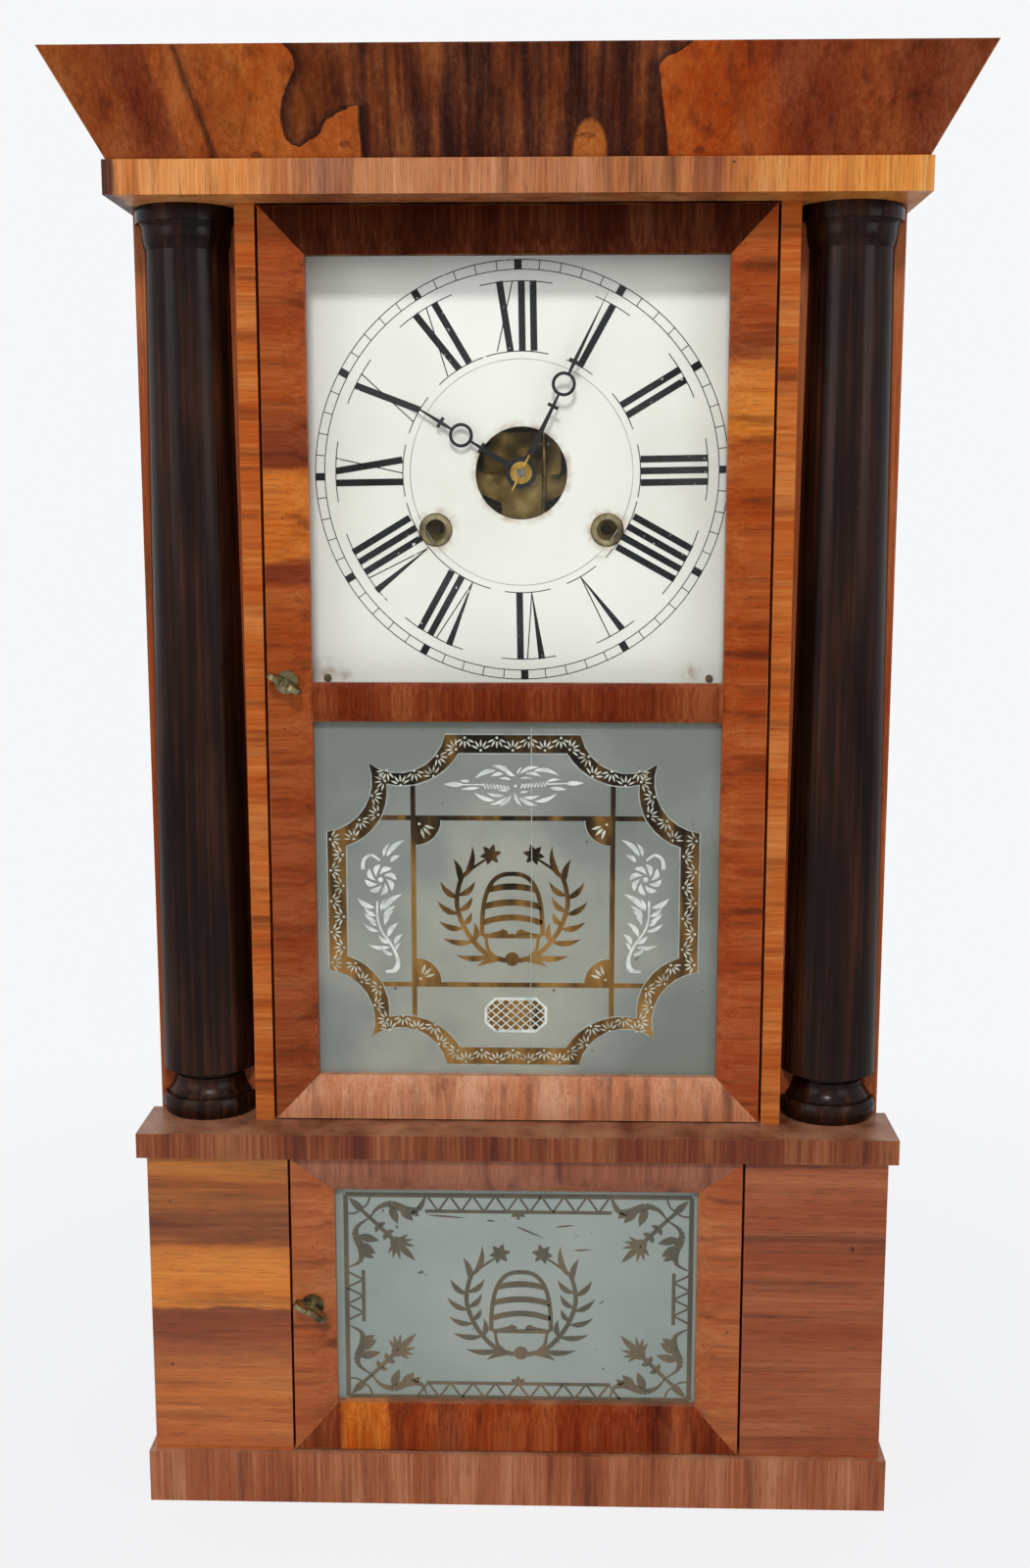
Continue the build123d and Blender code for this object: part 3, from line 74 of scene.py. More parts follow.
def mottle(tree, place, scale, detail, seed):
    """A cloudy pattern at a scale per metre along each axis: its clouds are 1000 / scale millimetres wide."""
    scale = scale if isinstance(scale, tuple) else (scale, scale, scale)
    shift = (seed, seed * 0.7, seed * 1.3)
    mapped = put(tree, "Mapping", {"Vector": place, "Scale": scale, "Location": shift}).outputs["Vector"]
    return put(tree, "TexNoise", {"Vector": mapped, "Scale": 1.0, "Detail": detail}).outputs["Fac"]


def oval(tree, place, x, z, half_width, half_height):
    """The distance from a point on the front in metres: one at the edge of an oval round it."""
    scale = (1 / half_width, 0, 1 / half_height)
    shift = (-x / half_width, 0, -z / half_height)
    mapped = put(tree, "Mapping", {"Vector": place, "Scale": scale, "Location": shift}).outputs["Vector"]
    return put(tree, "VectorMath", {"operation": "LENGTH", 0: mapped}).outputs["Value"]


def new_finish(name):
    """An empty finish with its node tree, shader and the place on the object in metres."""
    finish = bpy.data.materials.new(name)
    finish.use_nodes = True
    tree = finish.node_tree
    return finish, tree, tree.nodes["Principled BSDF"], put(tree, "TexCoord").outputs["Object"]


def dress(names, finish):
    """Gives CAD nodes their finish."""
    for name in names:
        slots = nodes[name].data.materials
        slots.clear()
        slots.append(finish)


def veneer(name, grain, base, seed, spread=0.22, sheen=0.1, dark=0.6):
    """Figured veneer with rubbed edges, a pale colour on what faces up that is partly dust and partly painted
    sheen, and old shellac.

    The base is one colour, or a function that lays colours out over the board. Across the grain the soft
    figure is 18 mm wide, the dark lines 5 mm, the streaks 1.4 mm and the pores 0.4 mm, coarser than real ones
    so that they show."""
    finish, tree, shader, place = new_finish("mahogany_" + name + "_shellac")

    def along(length, width, detail, shift):
        scale = tuple(length if axis == grain else width for axis in "XYZ")
        return mottle(tree, place, scale, detail, seed + shift)

    figure = along(7.0, 55.0, 3.0, 0.0)
    lines = along(9.0, 190.0, 3.0, 3.0)
    streaks = along(14.0, 700.0, 2.0, 7.0)
    pores = along(120.0, 2400.0, 1.0, 13.0)
    tone = put(tree, "Math", {
        "operation": "ADD",
        0: put(tree, "Math", {"operation": "MULTIPLY", 0: figure, 1: 0.6}).outputs[0],
        1: put(tree, "Math", {"operation": "MULTIPLY", 0: streaks, 1: 0.4}).outputs[0],
    }).outputs[0]
    deepened = put(tree, "Gamma", {
        "Gamma": put(tree, "MapRange", {0: tone, 1: 0.37, 2: 0.63, 3: 1 + spread, 4: 1 - spread}).outputs[0],
    })
    if callable(base):
        tree.links.new(base(tree, place), deepened.inputs["Color"])
    else:
        deepened.inputs["Color"].default_value = linear(base)
    held = put(tree, "Math", {
        "operation": "MULTIPLY",
        0: put(tree, "MapRange", {0: lines, 1: 0.51, 2: 0.7}).outputs[0],
        1: put(tree, "MapRange", {0: figure, 1: 0.62, 2: 0.38, 3: 0.35, 4: 1.0}).outputs[0],
    }).outputs[0]
    colour = put(tree, "Mix", {
        "data_type": "RGBA",
        0: put(tree, "Math", {"operation": "MULTIPLY", 0: held, 1: dark}).outputs[0],
        6: deepened.outputs["Color"], 7: linear("#2c1008"),
    }).outputs[2]
    colour = put(tree, "Mix", {
        "data_type": "RGBA",
        0: put(tree, "MapRange", {0: pores, 1: 0.56, 2: 0.72, 3: 0.0, 4: 0.4}).outputs[0],
        6: colour, 7: linear("#2a0f06"),
    }).outputs[2]
    rounded = put(tree, "Bevel", {"samples": 4, "Radius": 0.0011}).outputs["Normal"]
    flat = put(tree, "NewGeometry").outputs["Normal"]
    facing = put(tree, "VectorMath", {"operation": "DOT_PRODUCT", 0: rounded, 1: flat}).outputs["Value"]
    worn = put(tree, "MapRange", {0: mottle(tree, place, 60.0, 3.0, seed), 1: 0.45, 2: 0.65}).outputs[0]
    rubbed = put(tree, "Math", {
        "operation": "MULTIPLY",
        0: put(tree, "MapRange", {0: facing, 1: 0.97, 2: 0.8}).outputs[0],
        1: worn,
    }).outputs[0]
    colour = put(tree, "Mix", {
        "data_type": "RGBA",
        0: put(tree, "Math", {"operation": "MULTIPLY", 0: rubbed, 1: 0.45}).outputs[0],
        6: colour, 7: linear("#c0814a"),
    }).outputs[2]
    chips = put(tree, "MapRange", {
        0: mottle(tree, place, 130.0, 2.0, seed + 21.0), 1: 0.77, 2: 0.79,
    }).outputs[0]
    colour = put(tree, "Mix", {"data_type": "RGBA", 0: chips, 6: colour, 7: linear("#3a1a0c")}).outputs[2]
    # What faces up is made paler: partly dust, and partly painted sheen for the light that top faces catch.
    dust_and_sheen_on_top = put(tree, "MapRange", {
        0: put(tree, "SeparateXYZ", {0: flat}).outputs[2],
        1: 0.8, 2: 0.95, 3: 0.0, 4: 0.4,
    }).outputs[0]
    colour = put(tree, "Mix", {
        "data_type": "RGBA",
        0: put(tree, "Math", {
            "operation": "MULTIPLY", 0: dust_and_sheen_on_top,
            1: put(tree, "MapRange", {0: figure, 1: 0.2, 2: 0.7}).outputs[0],
        }).outputs[0],
        6: colour, 7: linear("#c59a7c"),
    }).outputs[2]
    tree.links.new(colour, shader.inputs["Base Color"])
    smears = mottle(tree, place, 34.0, 3.0, seed + 4.0)
    tree.links.new(
        put(tree, "MapRange", {0: smears, 1: 0.3, 2: 0.7, 3: 0.26, 4: 0.42}).outputs[0],
        shader.inputs["Roughness"])
    bump = put(tree, "Bump", {
        "Strength": 0.12, "Distance": 0.0002,
        "Height": put(tree, "Math", {
            "operation": "ADD", 0: streaks,
            1: put(tree, "Math", {"operation": "MULTIPLY", 0: pores, 1: 0.6}).outputs[0],
        }).outputs[0],
    })
    tree.links.new(bump.outputs["Normal"], shader.inputs["Normal"])
    shader.inputs["Specular IOR Level"].default_value = sheen
    return finish


def banded(axis, low, high, steps):
    """Colours that change along an axis between two places in metres, with edges that wander a little."""
    def colours(tree, place):
        level = put(tree, "MapRange", {
            0: put(tree, "SeparateXYZ", {0: place}).outputs[axis],
            1: low, 2: high,
        }).outputs[0]
        stray = 0.0035 / (high - low)
        scale = (160.0, 160.0, 30.0) if axis == 0 else (30.0, 30.0, 160.0)
        drift = put(tree, "MapRange", {
            0: mottle(tree, place, scale, 3.0, low * 50), 1: 0.2, 2: 0.8, 3: -stray, 4: stray,
        }).outputs[0]
        return put(tree, "ValToRGB", {
            0: put(tree, "Math", {"operation": "ADD", 0: level, 1: drift}).outputs[0],
            "stops": steps,
        }).outputs[0]
    return colours


def flame(tree, place):
    """The cornice: light wood at both ends and a dark streaked flame between, with a loop at its left."""
    across, _, height = put(tree, "SeparateXYZ", {0: place}).outputs
    stir = put(tree, "MapRange", {
        0: mottle(tree, place, (220.0, 60.0, 40.0), 3.0, 3.0), 1: 0.2, 2: 0.8, 3: -0.0014, 4: 0.0014,
    }).outputs[0]
    across = put(tree, "Math", {"operation": "ADD", 0: across, 1: stir}).outputs[0]
    level = put(tree, "MapRange", {0: height, 1: 0.5954, 2: 0.635}).outputs[0]
    leaned = put(tree, "Math", {
        "operation": "ADD", 0: across,
        1: put(tree, "Math", {"operation": "MULTIPLY", 0: level, 1: 0.0115}).outputs[0],
    }).outputs[0]
    light = put(tree, "ValToRGB", {
        0: put(tree, "MapRange", {0: leaned, 1: -0.19, 2: 0.19}).outputs[0],
        "stops": [
            (0.03, "#8c461c"), (0.09, "#863f1a"), (0.11, "#6f2f16"), (0.14, "#763418"), (0.15, "#9a4c1d"),
            (0.17, "#98491c"), (0.173, "#4c2410"), (0.177, "#4c2410"), (0.181, "#95481c"), (0.2, "#914719"),
            (0.24, "#a7551d"), (0.27, "#a24f1b"), (0.65, "#a44814"), (0.74, "#9e4514"), (0.748, "#873e18"),
            (0.757, "#954013"), (0.785, "#8b3a13"), (0.8, "#773217"), (0.86, "#783317"), (0.88, "#873f1b"),
            (0.915, "#823c19"), (0.935, "#703118"), (1.0, "#703218"),
        ],
    }).outputs[0]

    def edge(places):
        line = put(tree, "ValToRGB", {0: level, "stops": places})
        line.color_ramp.interpolation = "CARDINAL"
        return put(tree, "MapRange", {0: line.outputs[0], 1: 0.0, 2: 1.0, 3: -0.1, 4: 0.1}).outputs[0]

    loop_left = edge([(0.06, 0.16), (0.1, 0.065), (0.16, 0.036), (0.28, 0.027), (0.48, 0.029), (0.66, 0.046),
                      (0.82, 0.059), (0.92, 0.053), (1.0, 0.039)])
    loop_right = edge([(0.05, 0.02), (0.1, 0.062), (0.2, 0.098), (0.35, 0.127), (0.43, 0.16), (0.47, 0.2),
                       (0.5, 0.4)])
    flame_right = edge([(0.0, 0.812), (0.29, 0.808), (0.5, 0.798), (0.7, 0.788), (0.8, 0.788), (0.89, 0.818),
                        (1.0, 0.852)])
    loop = put(tree, "Math", {
        "operation": "MINIMUM",
        0: put(tree, "Math", {"operation": "SUBTRACT", 0: across, 1: loop_left}).outputs[0],
        1: put(tree, "Math", {"operation": "SUBTRACT", 0: loop_right, 1: across}).outputs[0],
    }).outputs[0]
    core = put(tree, "Math", {
        "operation": "MINIMUM",
        0: put(tree, "Math", {"operation": "ADD", 0: across, 1: 0.064}).outputs[0],
        1: put(tree, "Math", {"operation": "SUBTRACT", 0: flame_right, 1: across}).outputs[0],
    }).outputs[0]
    depth = put(tree, "Math", {"operation": "MAXIMUM", 0: loop, 1: core}).outputs[0]
    stripes = mottle(tree, place, (170.0, 20.0, 8.0), 4.0, 5.0)
    dark = put(tree, "ValToRGB", {
        0: stripes, "stops": [(0.34, "#26100a"), (0.46, "#421f11"), (0.56, "#5e2d16"), (0.66, "#783c1a")],
    }).outputs[0]
    dark = put(tree, "Mix", {
        "data_type": "RGBA",
        0: put(tree, "MapRange", {0: across, 1: -0.084, 2: -0.06, 3: 0.6, 4: 0.0}).outputs[0],
        6: dark, 7: linear("#7c3d18"),
    }).outputs[2]
    dark = put(tree, "Mix", {
        "data_type": "RGBA",
        0: put(tree, "MapRange", {0: depth, 1: 0.0005, 2: 0.0075}).outputs[0],
        6: linear("#25100a"), 7: dark,
    }).outputs[2]
    patch = put(tree, "MapRange", {
        0: oval(tree, place, 0.0302, 0.5972, 0.0072, 0.0122), 1: 1.02, 2: 0.86,
    }).outputs[0]
    dark = put(tree, "Mix", {"data_type": "RGBA", 0: patch, 6: dark, 7: linear("#a35622")}).outputs[2]
    colour = put(tree, "Mix", {
        "data_type": "RGBA",
        0: put(tree, "MapRange", {0: depth, 1: 0.0, 2: 0.0009}).outputs[0],
        6: light, 7: dark,
    }).outputs[2]
    scratched = put(tree, "MapRange", {
        0: mottle(tree, place, (300.0, 300.0, 900.0), 3.0, 9.0), 1: 0.4, 2: 0.55,
    }).outputs[0]
    scar = put(tree, "Math", {
        "operation": "MULTIPLY",
        0: put(tree, "MapRange", {
            0: oval(tree, place, 0.0276, 0.6031, 0.0052, 0.0012), 1: 1.1, 2: 0.5,
        }).outputs[0],
        1: scratched,
    }).outputs[0]
    colour = put(tree, "Mix", {"data_type": "RGBA", 0: scar, 6: colour, 7: linear("#2a1a14")}).outputs[2]
    for x, z in ((-0.0692, 0.6005), (-0.1062, 0.5968), (0.0746, 0.5978)):
        nail = put(tree, "MapRange", {0: oval(tree, place, x, z, 0.0026, 0.0014), 1: 1.1, 2: 0.8}).outputs[0]
        colour = put(tree, "Mix", {
            "data_type": "RGBA",
            0: put(tree, "Math", {"operation": "MULTIPLY", 0: nail, 1: 0.6}).outputs[0],
            6: colour, 7: linear("#4a1d10"),
        }).outputs[2]
    return colour


dress(["cornice_front"], veneer("crotch_veneer", "Z", flame, 2.0, 0.16, 0.06))
dress(["cornice_return_left", "cornice_return_right"], veneer("return_veneer", "Z", "#813c19", 5.0))
dress(["top_board"], veneer("edge_strip", "Z", banded(0, -0.17, 0.17, [
    (0.0, "#3c1d12"), (0.015, "#4a2616"), (0.024, "#c57d43"), (0.17, "#cd8548"), (0.2, "#b57446"),
    (0.25, "#a76944"), (0.27, "#8f563c"), (0.31, "#ae6f46"), (0.45, "#af714b"), (0.6, "#a3653f"),
    (0.7, "#b67648"), (0.74, "#94593c"), (0.77, "#bc7840"), (0.93, "#c77c35"), (1.0, "#cd853d"),
]), 8.0, 0.24, 0.14))
dress(["mid_shelf"], veneer("banded_veneer", "Z", "#773a1c", 11.0, 0.26, 0.26, 0.6))
dress(["base_moulding"], veneer("foot_veneer", "Z", "#985532", 12.0, 0.26, 0.32, 0.6))
dress(["side_board_left", "side_board_right", "face_board_left", "face_board_right"],
      veneer("board", "Z", "#9a4f29", 14.0))
dress(["jamb_left", "jamb_right"], veneer("cross_veneer", "X", "#b05c24", 17.0, 0.22))
dress(["lower_panel_left"], veneer("striped_veneer", "X", banded(2, 0.0245, 0.1664, [
    (0.0, "#ab5c28"), (0.06, "#b05f29"), (0.17, "#c06b2b"), (0.3, "#a15625"), (0.41, "#8e4822"),
    (0.475, "#7c3c1c"), (0.487, "#c87425"), (0.6, "#ca7625"), (0.69, "#b7651f"), (0.72, "#84451b"),
    (0.8, "#7a401b"), (0.85, "#95521b"), (0.91, "#9c561a"), (0.96, "#b06a22"), (1.0, "#b87026"),
]), 20.0, 0.14, 0.44))
dress(["lower_panel_right"], veneer("fine_veneer", "X", "#904824", 23.0, 0.16, 0.36, 0.6))

# Half columns
# Turned wood, ebonised under shellac, standing on the shelf before the face boards: almost black, with a
# little of the red wood showing along the grain in streaks 2.4 mm wide.
column_finish, tree, shader, place = new_finish("ebonised_wood_shellac")
streaks = mottle(tree, place, (420.0, 420.0, 7.0), 3.0, 3.0)
patches = mottle(tree, place, (70.0, 70.0, 14.0), 2.0, 9.0)
tone = put(tree, "Math", {
    "operation": "ADD",
    0: put(tree, "Math", {"operation": "MULTIPLY", 0: streaks, 1: 0.55}).outputs[0],
    1: put(tree, "Math", {"operation": "MULTIPLY", 0: patches, 1: 0.45}).outputs[0],
}).outputs[0]
colour = put(tree, "ValToRGB", {
    0: tone, "stops": [(0.4, "#130906"), (0.5, "#1f0f09"), (0.58, "#2f170d"), (0.68, "#452314")],
}).outputs[0]
knocks = put(tree, "MapRange", {0: mottle(tree, place, 170.0, 2.0, 31.0), 1: 0.765, 2: 0.785}).outputs[0]
colour = put(tree, "Mix", {
    "data_type": "RGBA",
    0: put(tree, "Math", {"operation": "MULTIPLY", 0: knocks, 1: 0.8}).outputs[0],
    6: colour, 7: linear("#8d6a4c"),
}).outputs[2]
tree.links.new(colour, shader.inputs["Base Color"])
tree.links.new(
    put(tree, "MapRange", {0: patches, 1: 0.3, 2: 0.7, 3: 0.16, 4: 0.3}).outputs[0],
    shader.inputs["Roughness"])
bump = put(tree, "Bump", {"Strength": 0.12, "Distance": 0.0003, "Height": streaks})
tree.links.new(bump.outputs["Normal"], shader.inputs["Normal"])
shader.inputs["Specular IOR Level"].default_value = 0.12
dress(["column_left", "column_right"], column_finish)

# Inner pine
# Raw boards inside and behind: back, bottom and the two rails that carry the dial, browned with age. The
# rings are 13 mm apart and the fibres 1.1 mm wide.
for name, long_axis, boards in (("upright", 2, ["backboard", "inner_rail_left", "inner_rail_right"]),
                                ("level", 0, ["bottom_board"])):
    pine_finish, tree, shader, place = new_finish("aged_pine_raw_" + name)
    rings = mottle(tree, place, tuple(3.0 if axis == long_axis else 75.0 for axis in range(3)), 3.0, 1.0)
    fibre = mottle(tree, place, tuple(14.0 if axis == long_axis else 900.0 for axis in range(3)), 2.0, 6.0)
    tone = put(tree, "Math", {
        "operation": "ADD",
        0: put(tree, "Math", {"operation": "MULTIPLY", 0: rings, 1: 0.7}).outputs[0],
        1: put(tree, "Math", {"operation": "MULTIPLY", 0: fibre, 1: 0.3}).outputs[0],
    }).outputs[0]
    colour = put(tree, "ValToRGB", {
        0: tone, "stops": [(0.36, "#4f3a22"), (0.47, "#7c5f3b"), (0.56, "#94754b"), (0.66, "#ab8d60")],
    }).outputs[0]
    stains = put(tree, "MapRange", {0: mottle(tree, place, 12.0, 4.0, 18.0), 1: 0.5, 2: 0.72}).outputs[0]
    colour = put(tree, "Mix", {
        "data_type": "RGBA",
        0: put(tree, "Math", {"operation": "MULTIPLY", 0: stains, 1: 0.55}).outputs[0],
        6: colour, 7: linear("#3a2a19"),
    }).outputs[2]
    tree.links.new(colour, shader.inputs["Base Color"])
    tree.links.new(
        put(tree, "MapRange", {0: fibre, 1: 0.3, 2: 0.7, 3: 0.62, 4: 0.85}).outputs[0],
        shader.inputs["Roughness"])
    bump = put(tree, "Bump", {"Strength": 0.3, "Distance": 0.0004, "Height": tone})
    tree.links.new(bump.outputs["Normal"], shader.inputs["Normal"])
    dress(boards, pine_finish)

# Doors
# Cross-banded frames that turn on their right edge. The veneer runs level on the stiles and upright on the
# rails, with a different leaf on each.
dress(["upper_stile_left"], veneer("left_stile_veneer", "X", banded(2, 0.1786, 0.5806, [
    (0.0, "#86401e"), (0.3, "#8a401d"), (0.5, "#94451a"), (0.6, "#97481b"), (0.61, "#722f18"),
    (0.625, "#7a3618"), (0.633, "#b86426"), (0.72, "#bf6b29"), (0.735, "#743319"), (0.775, "#7e3a1a"),
    (0.8, "#98461a"), (0.9, "#8f401a"), (1.0, "#9a4a1e"),
]), 26.0, 0.15, 0.08))
dress(["upper_stile_right"], veneer("right_stile_veneer", "X", banded(2, 0.1786, 0.5806, [
    (0.0, "#964420"), (0.3, "#97441b"), (0.55, "#9a471a"), (0.7, "#9c4818"), (0.755, "#9c4a19"),
    (0.768, "#c2732b"), (0.83, "#b86525"), (0.85, "#7a3517"), (0.88, "#8f4019"), (1.0, "#a24e1d"),
]), 27.0, 0.18, 0.08))
# The top rail is painted much darker than the other rails: painted shade for the shadow that the top board
# casts on it.
dress(["upper_top_rail"], veneer("painted_shade_rail_veneer", "Z", "#441c0b", 28.0, 0.24, 0.03))
dress(["upper_middle_rail"], veneer("rail_veneer", "Z", "#712e12", 29.0, 0.24, 0.05))
dress(["upper_bottom_rail"], veneer("pale_rail_veneer", "Z", "#bd7e5a", 32.0, 0.22, 0.25))
dress(["lower_stile_left", "lower_stile_right"], veneer("red_stile_veneer", "X", "#a15528", 35.0, 0.18, 0.3))
dress(["lower_top_rail"], veneer("dull_rail_veneer", "Z", "#8f573e", 38.0, 0.12, 0.3))
dress(["lower_bottom_rail"], veneer("bright_rail_veneer", "Z", banded(0, -0.1, 0.1, [
    (0.0, "#7a3a1c"), (0.1, "#702f16"), (0.112, "#b8601e"), (0.2, "#b45a1c"), (0.212, "#7c3417"),
    (0.3, "#8e3d18"), (0.34, "#6c2912"), (0.42, "#8e3d18"), (0.6, "#863816"), (0.78, "#7a3015"),
    (0.83, "#521c0e"), (0.87, "#863a1a"), (1.0, "#7a381c"),
]), 41.0, 0.22, 0.05))

# Dial pane
# Old window glass in the upper door, thin enough to see through, with a little dust and a slight haze.
glass_finish, tree, shader, place = new_finish("old_window_glass")
haze = mottle(tree, place, 18.0, 4.0, 2.0)
tree.links.new(
    put(tree, "ValToRGB", {0: haze, "stops": [(0.3, "#dfe8e4"), (0.7, "#f2f6f2")]}).outputs[0],
    shader.inputs["Base Color"])
tree.links.new(
    put(tree, "MapRange", {0: haze, 1: 0.35, 2: 0.75, 3: 0.004, 4: 0.02}).outputs[0],
    shader.inputs["Alpha"])
tree.links.new(
    put(tree, "MapRange", {
        0: mottle(tree, place, 7.0, 2.0, 5.0), 1: 0.3, 2: 0.7, 3: 0.02, 4: 0.08,
    }).outputs[0],
    shader.inputs["Roughness"])
bump = put(tree, "Bump", {"Strength": 0.05, "Distance": 0.001, "Height": mottle(tree, place, 9.0, 1.0, 8.0)})
tree.links.new(bump.outputs["Normal"], shader.inputs["Normal"])
shader.inputs["Specular IOR Level"].default_value = 0.5
dress(["dial_glass"], glass_finish)


# Tablets
# Two panes of ground glass, one in each door. The frosting is grey-green, dulled with smudges and a few dark
# specks. Its tooth is drawn 0.4 mm wide, coarser than real grinding, so that it shows.
def ground_glass(name, stops, middle, reach, seed):
    """Frosted glass with a fine tooth, darker away from its middle, with smudges and specks of dirt."""
    finish, tree, shader, place = new_finish(name)
    cloud = mottle(tree, place, 22.0, 7.0, seed)
    tooth = mottle(tree, place, 2600.0, 1.0, seed + 3.0)
    away = put(tree, "MapRange", {
        0: oval(tree, place, *middle, *reach), 1: 0.0, 2: 1.0, 3: 0.12, 4: -0.48,
    }).outputs[0]
    grain = put(tree, "Math", {
        "operation": "ADD",
        0: put(tree, "Math", {"operation": "MULTIPLY", 0: cloud, 1: 1.05}).outputs[0],
        1: put(tree, "Math", {"operation": "MULTIPLY", 0: tooth, 1: 0.15}).outputs[0],
    }).outputs[0]
    colour = put(tree, "ValToRGB", {
        0: put(tree, "Math", {"operation": "ADD", 0: away, 1: grain}).outputs[0],
        "stops": stops,
    }).outputs[0]
    specks = put(tree, "MapRange", {
        0: mottle(tree, place, 210.0, 2.0, seed + 8.0), 1: 0.745, 2: 0.765,
    }).outputs[0]
    colour = put(tree, "Mix", {
        "data_type": "RGBA",
        0: put(tree, "Math", {"operation": "MULTIPLY", 0: specks, 1: 0.75}).outputs[0],
        6: colour, 7: linear("#46443a"),
    }).outputs[2]
    tree.links.new(colour, shader.inputs["Base Color"])
    tree.links.new(
        put(tree, "MapRange", {0: cloud, 1: 0.3, 2: 0.7, 3: 0.42, 4: 0.6}).outputs[0],
        shader.inputs["Roughness"])
    bump = put(tree, "Bump", {"Strength": 0.12, "Distance": 0.0001, "Height": tooth})
    tree.links.new(bump.outputs["Normal"], shader.inputs["Normal"])
    shader.inputs["Specular IOR Level"].default_value = 0.25
    return finish


dress(["upper_tablet"], ground_glass("ground_glass_upper", [
    (0.1, "#717870"), (0.35, "#81857f"), (0.55, "#929589"), (0.75, "#9fa191")],
    (-0.018, 0.25), (0.115, 0.125), 4.0))
dress(["lower_tablet"], ground_glass("ground_glass_lower", [
    (0.1, "#828e87"), (0.4, "#8e9891"), (0.6, "#959d96"), (0.8, "#9da59c")], (0.0, 0.096),
    (0.12, 0.09), 14.0))

# Tablet ornament
# The ornament is clear glass left in the frosting, with white lines painted on. Every form is a flat shape in
# millimetres, and the clear ones are painted in the colours of the dark case behind as it lies in shade, on
# both faces of the pane.


def blade(x0, z0, x1, z1, width, belly=0.0):
    """A pointed leaf from its root to its tip, bowed to its left by a share of its length."""
    dx, dz = x1 - x0, z1 - z0
    size = hypot(dx, dz)
    left, right = [], []
    for step in range(9):
        share = step / 8
        bow = belly * size * 4 * share * (1 - share)
        half = width / 2 * sin(pi * share ** 0.8)
        for offset, line in ((bow + half, left), (bow - half, right)):
            line.append((x0 + dx * share - dz / size * offset, z0 + dz * share + dx / size * offset))
    return between(right, left)


def leaf(x, z, angle, length, width, belly=0.0):
    """A pointed leaf from its root at an angle."""
    return blade(x, z, x + length * cos(radians(angle)), z + length * sin(radians(angle)), width, belly)


def dot(x, z, radius):
    """A round dot."""
    return [[(x + radius * cos(k * pi / 6), z + radius * sin(k * pi / 6)) for k in range(12)]]


def between(right, left):
    """Fills the strip between two lines with as many points each."""
    return [[right[k], right[k + 1], left[k + 1], left[k]] for k in range(len(right) - 1)]


def stroke(points, start, end=None):
    """A drawn line through points, with its width at the start and at the end."""
    end = start if end is None else end
    left, right = [], []
    for k, (x, z) in enumerate(points):
        x0, z0 = points[max(k - 1, 0)]
        x1, z1 = points[min(k + 1, len(points) - 1)]
        size = hypot(x1 - x0, z1 - z0)
        half = (start + (end - start) * k / (len(points) - 1)) / 2
        left.append((x - (z1 - z0) / size * half, z + (x1 - x0) / size * half))
        right.append((x + (z1 - z0) / size * half, z - (x1 - x0) / size * half))
    return between(right, left)


def arc(first, middle, last, count=9):
    """Points on the circle through three points."""
    (ax, az), (bx, bz), (cx, cz) = first, middle, last
    scale = 2 * (ax * (bz - cz) + bx * (cz - az) + cx * (az - bz))
    a2, b2, c2 = (x * x + z * z for x, z in (first, middle, last))
    ux = (a2 * (bz - cz) + b2 * (cz - az) + c2 * (az - bz)) / scale
    uz = (a2 * (cx - bx) + b2 * (ax - cx) + c2 * (bx - ax)) / scale
    radius = hypot(ax - ux, az - uz)
    start, through, end = (atan2(z - uz, x - ux) for x, z in (first, middle, last))
    turn = (end - start) % (2 * pi)
    if (through - start) % (2 * pi) > turn:
        turn -= 2 * pi
    angles = [start + turn * k / (count - 1) for k in range(count)]
    return [(ux + radius * cos(a), uz + radius * sin(a)) for a in angles]


def curve(points, count=20):
    """A smooth line through points."""
    line = []
    for k in range(count):
        place = k / (count - 1) * (len(points) - 1)
        i = min(int(place), len(points) - 2)
        t = place - i
        before, start, end, after = (points[min(max(i + j, 0), len(points) - 1)] for j in (-1, 0, 1, 2))
        line.append(tuple(
            b + t * (c - a) / 2 + t * t * (a - 2.5 * b + 2 * c - d / 2)
            + t ** 3 * (1.5 * (b - c) + (d - a) / 2)
            for a, b, c, d in zip(before, start, end, after)))
    return line


def walk(points, distance):
    """The place and heading after a distance along a line."""
    for (x0, z0), (x1, z1) in zip(points, points[1:]):
        size = hypot(x1 - x0, z1 - z0)
        if distance <= size:
            break
        distance -= size
    share = min(distance / size, 1.0)
    return x0 + (x1 - x0) * share, z0 + (z1 - z0) * share, degrees(atan2(z1 - z0, x1 - x0))


def moved(shapes, x, z, mirror=1):
    """Shapes shifted into place, mirrored left to right where mirror is -1."""
    return [[(x + mirror * px, z + pz) for px, pz in shape] for shape in shapes]


def lay(name, shapes, depth, finish, body, step=-3e-6):
    """A piece of flat shapes lying on a face at a depth in metres, carried by a body.

    Neighbouring shapes lie a few thousandths of a millimetre apart, so that none share a plane where they
    cross."""
    points, faces = [], []
    for count, shape in enumerate(shapes):
        area = sum(a[0] * b[1] - b[0] * a[1] for a, b in zip(shape, shape[1:] + shape[:1]))
        ring = shape if area > 0 else shape[::-1]
        faces.append(range(len(points), len(points) + len(ring)))
        points += [(x / 1000, depth + count % 13 * step, z / 1000) for x, z in ring]
    mesh = bpy.data.meshes.new(name)
    mesh.from_pydata(points, [], faces)
    mesh.materials.append(finish)
    piece = bpy.data.objects.new(name, mesh)
    bpy.context.scene.collection.objects.link(piece)
    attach(piece, body)


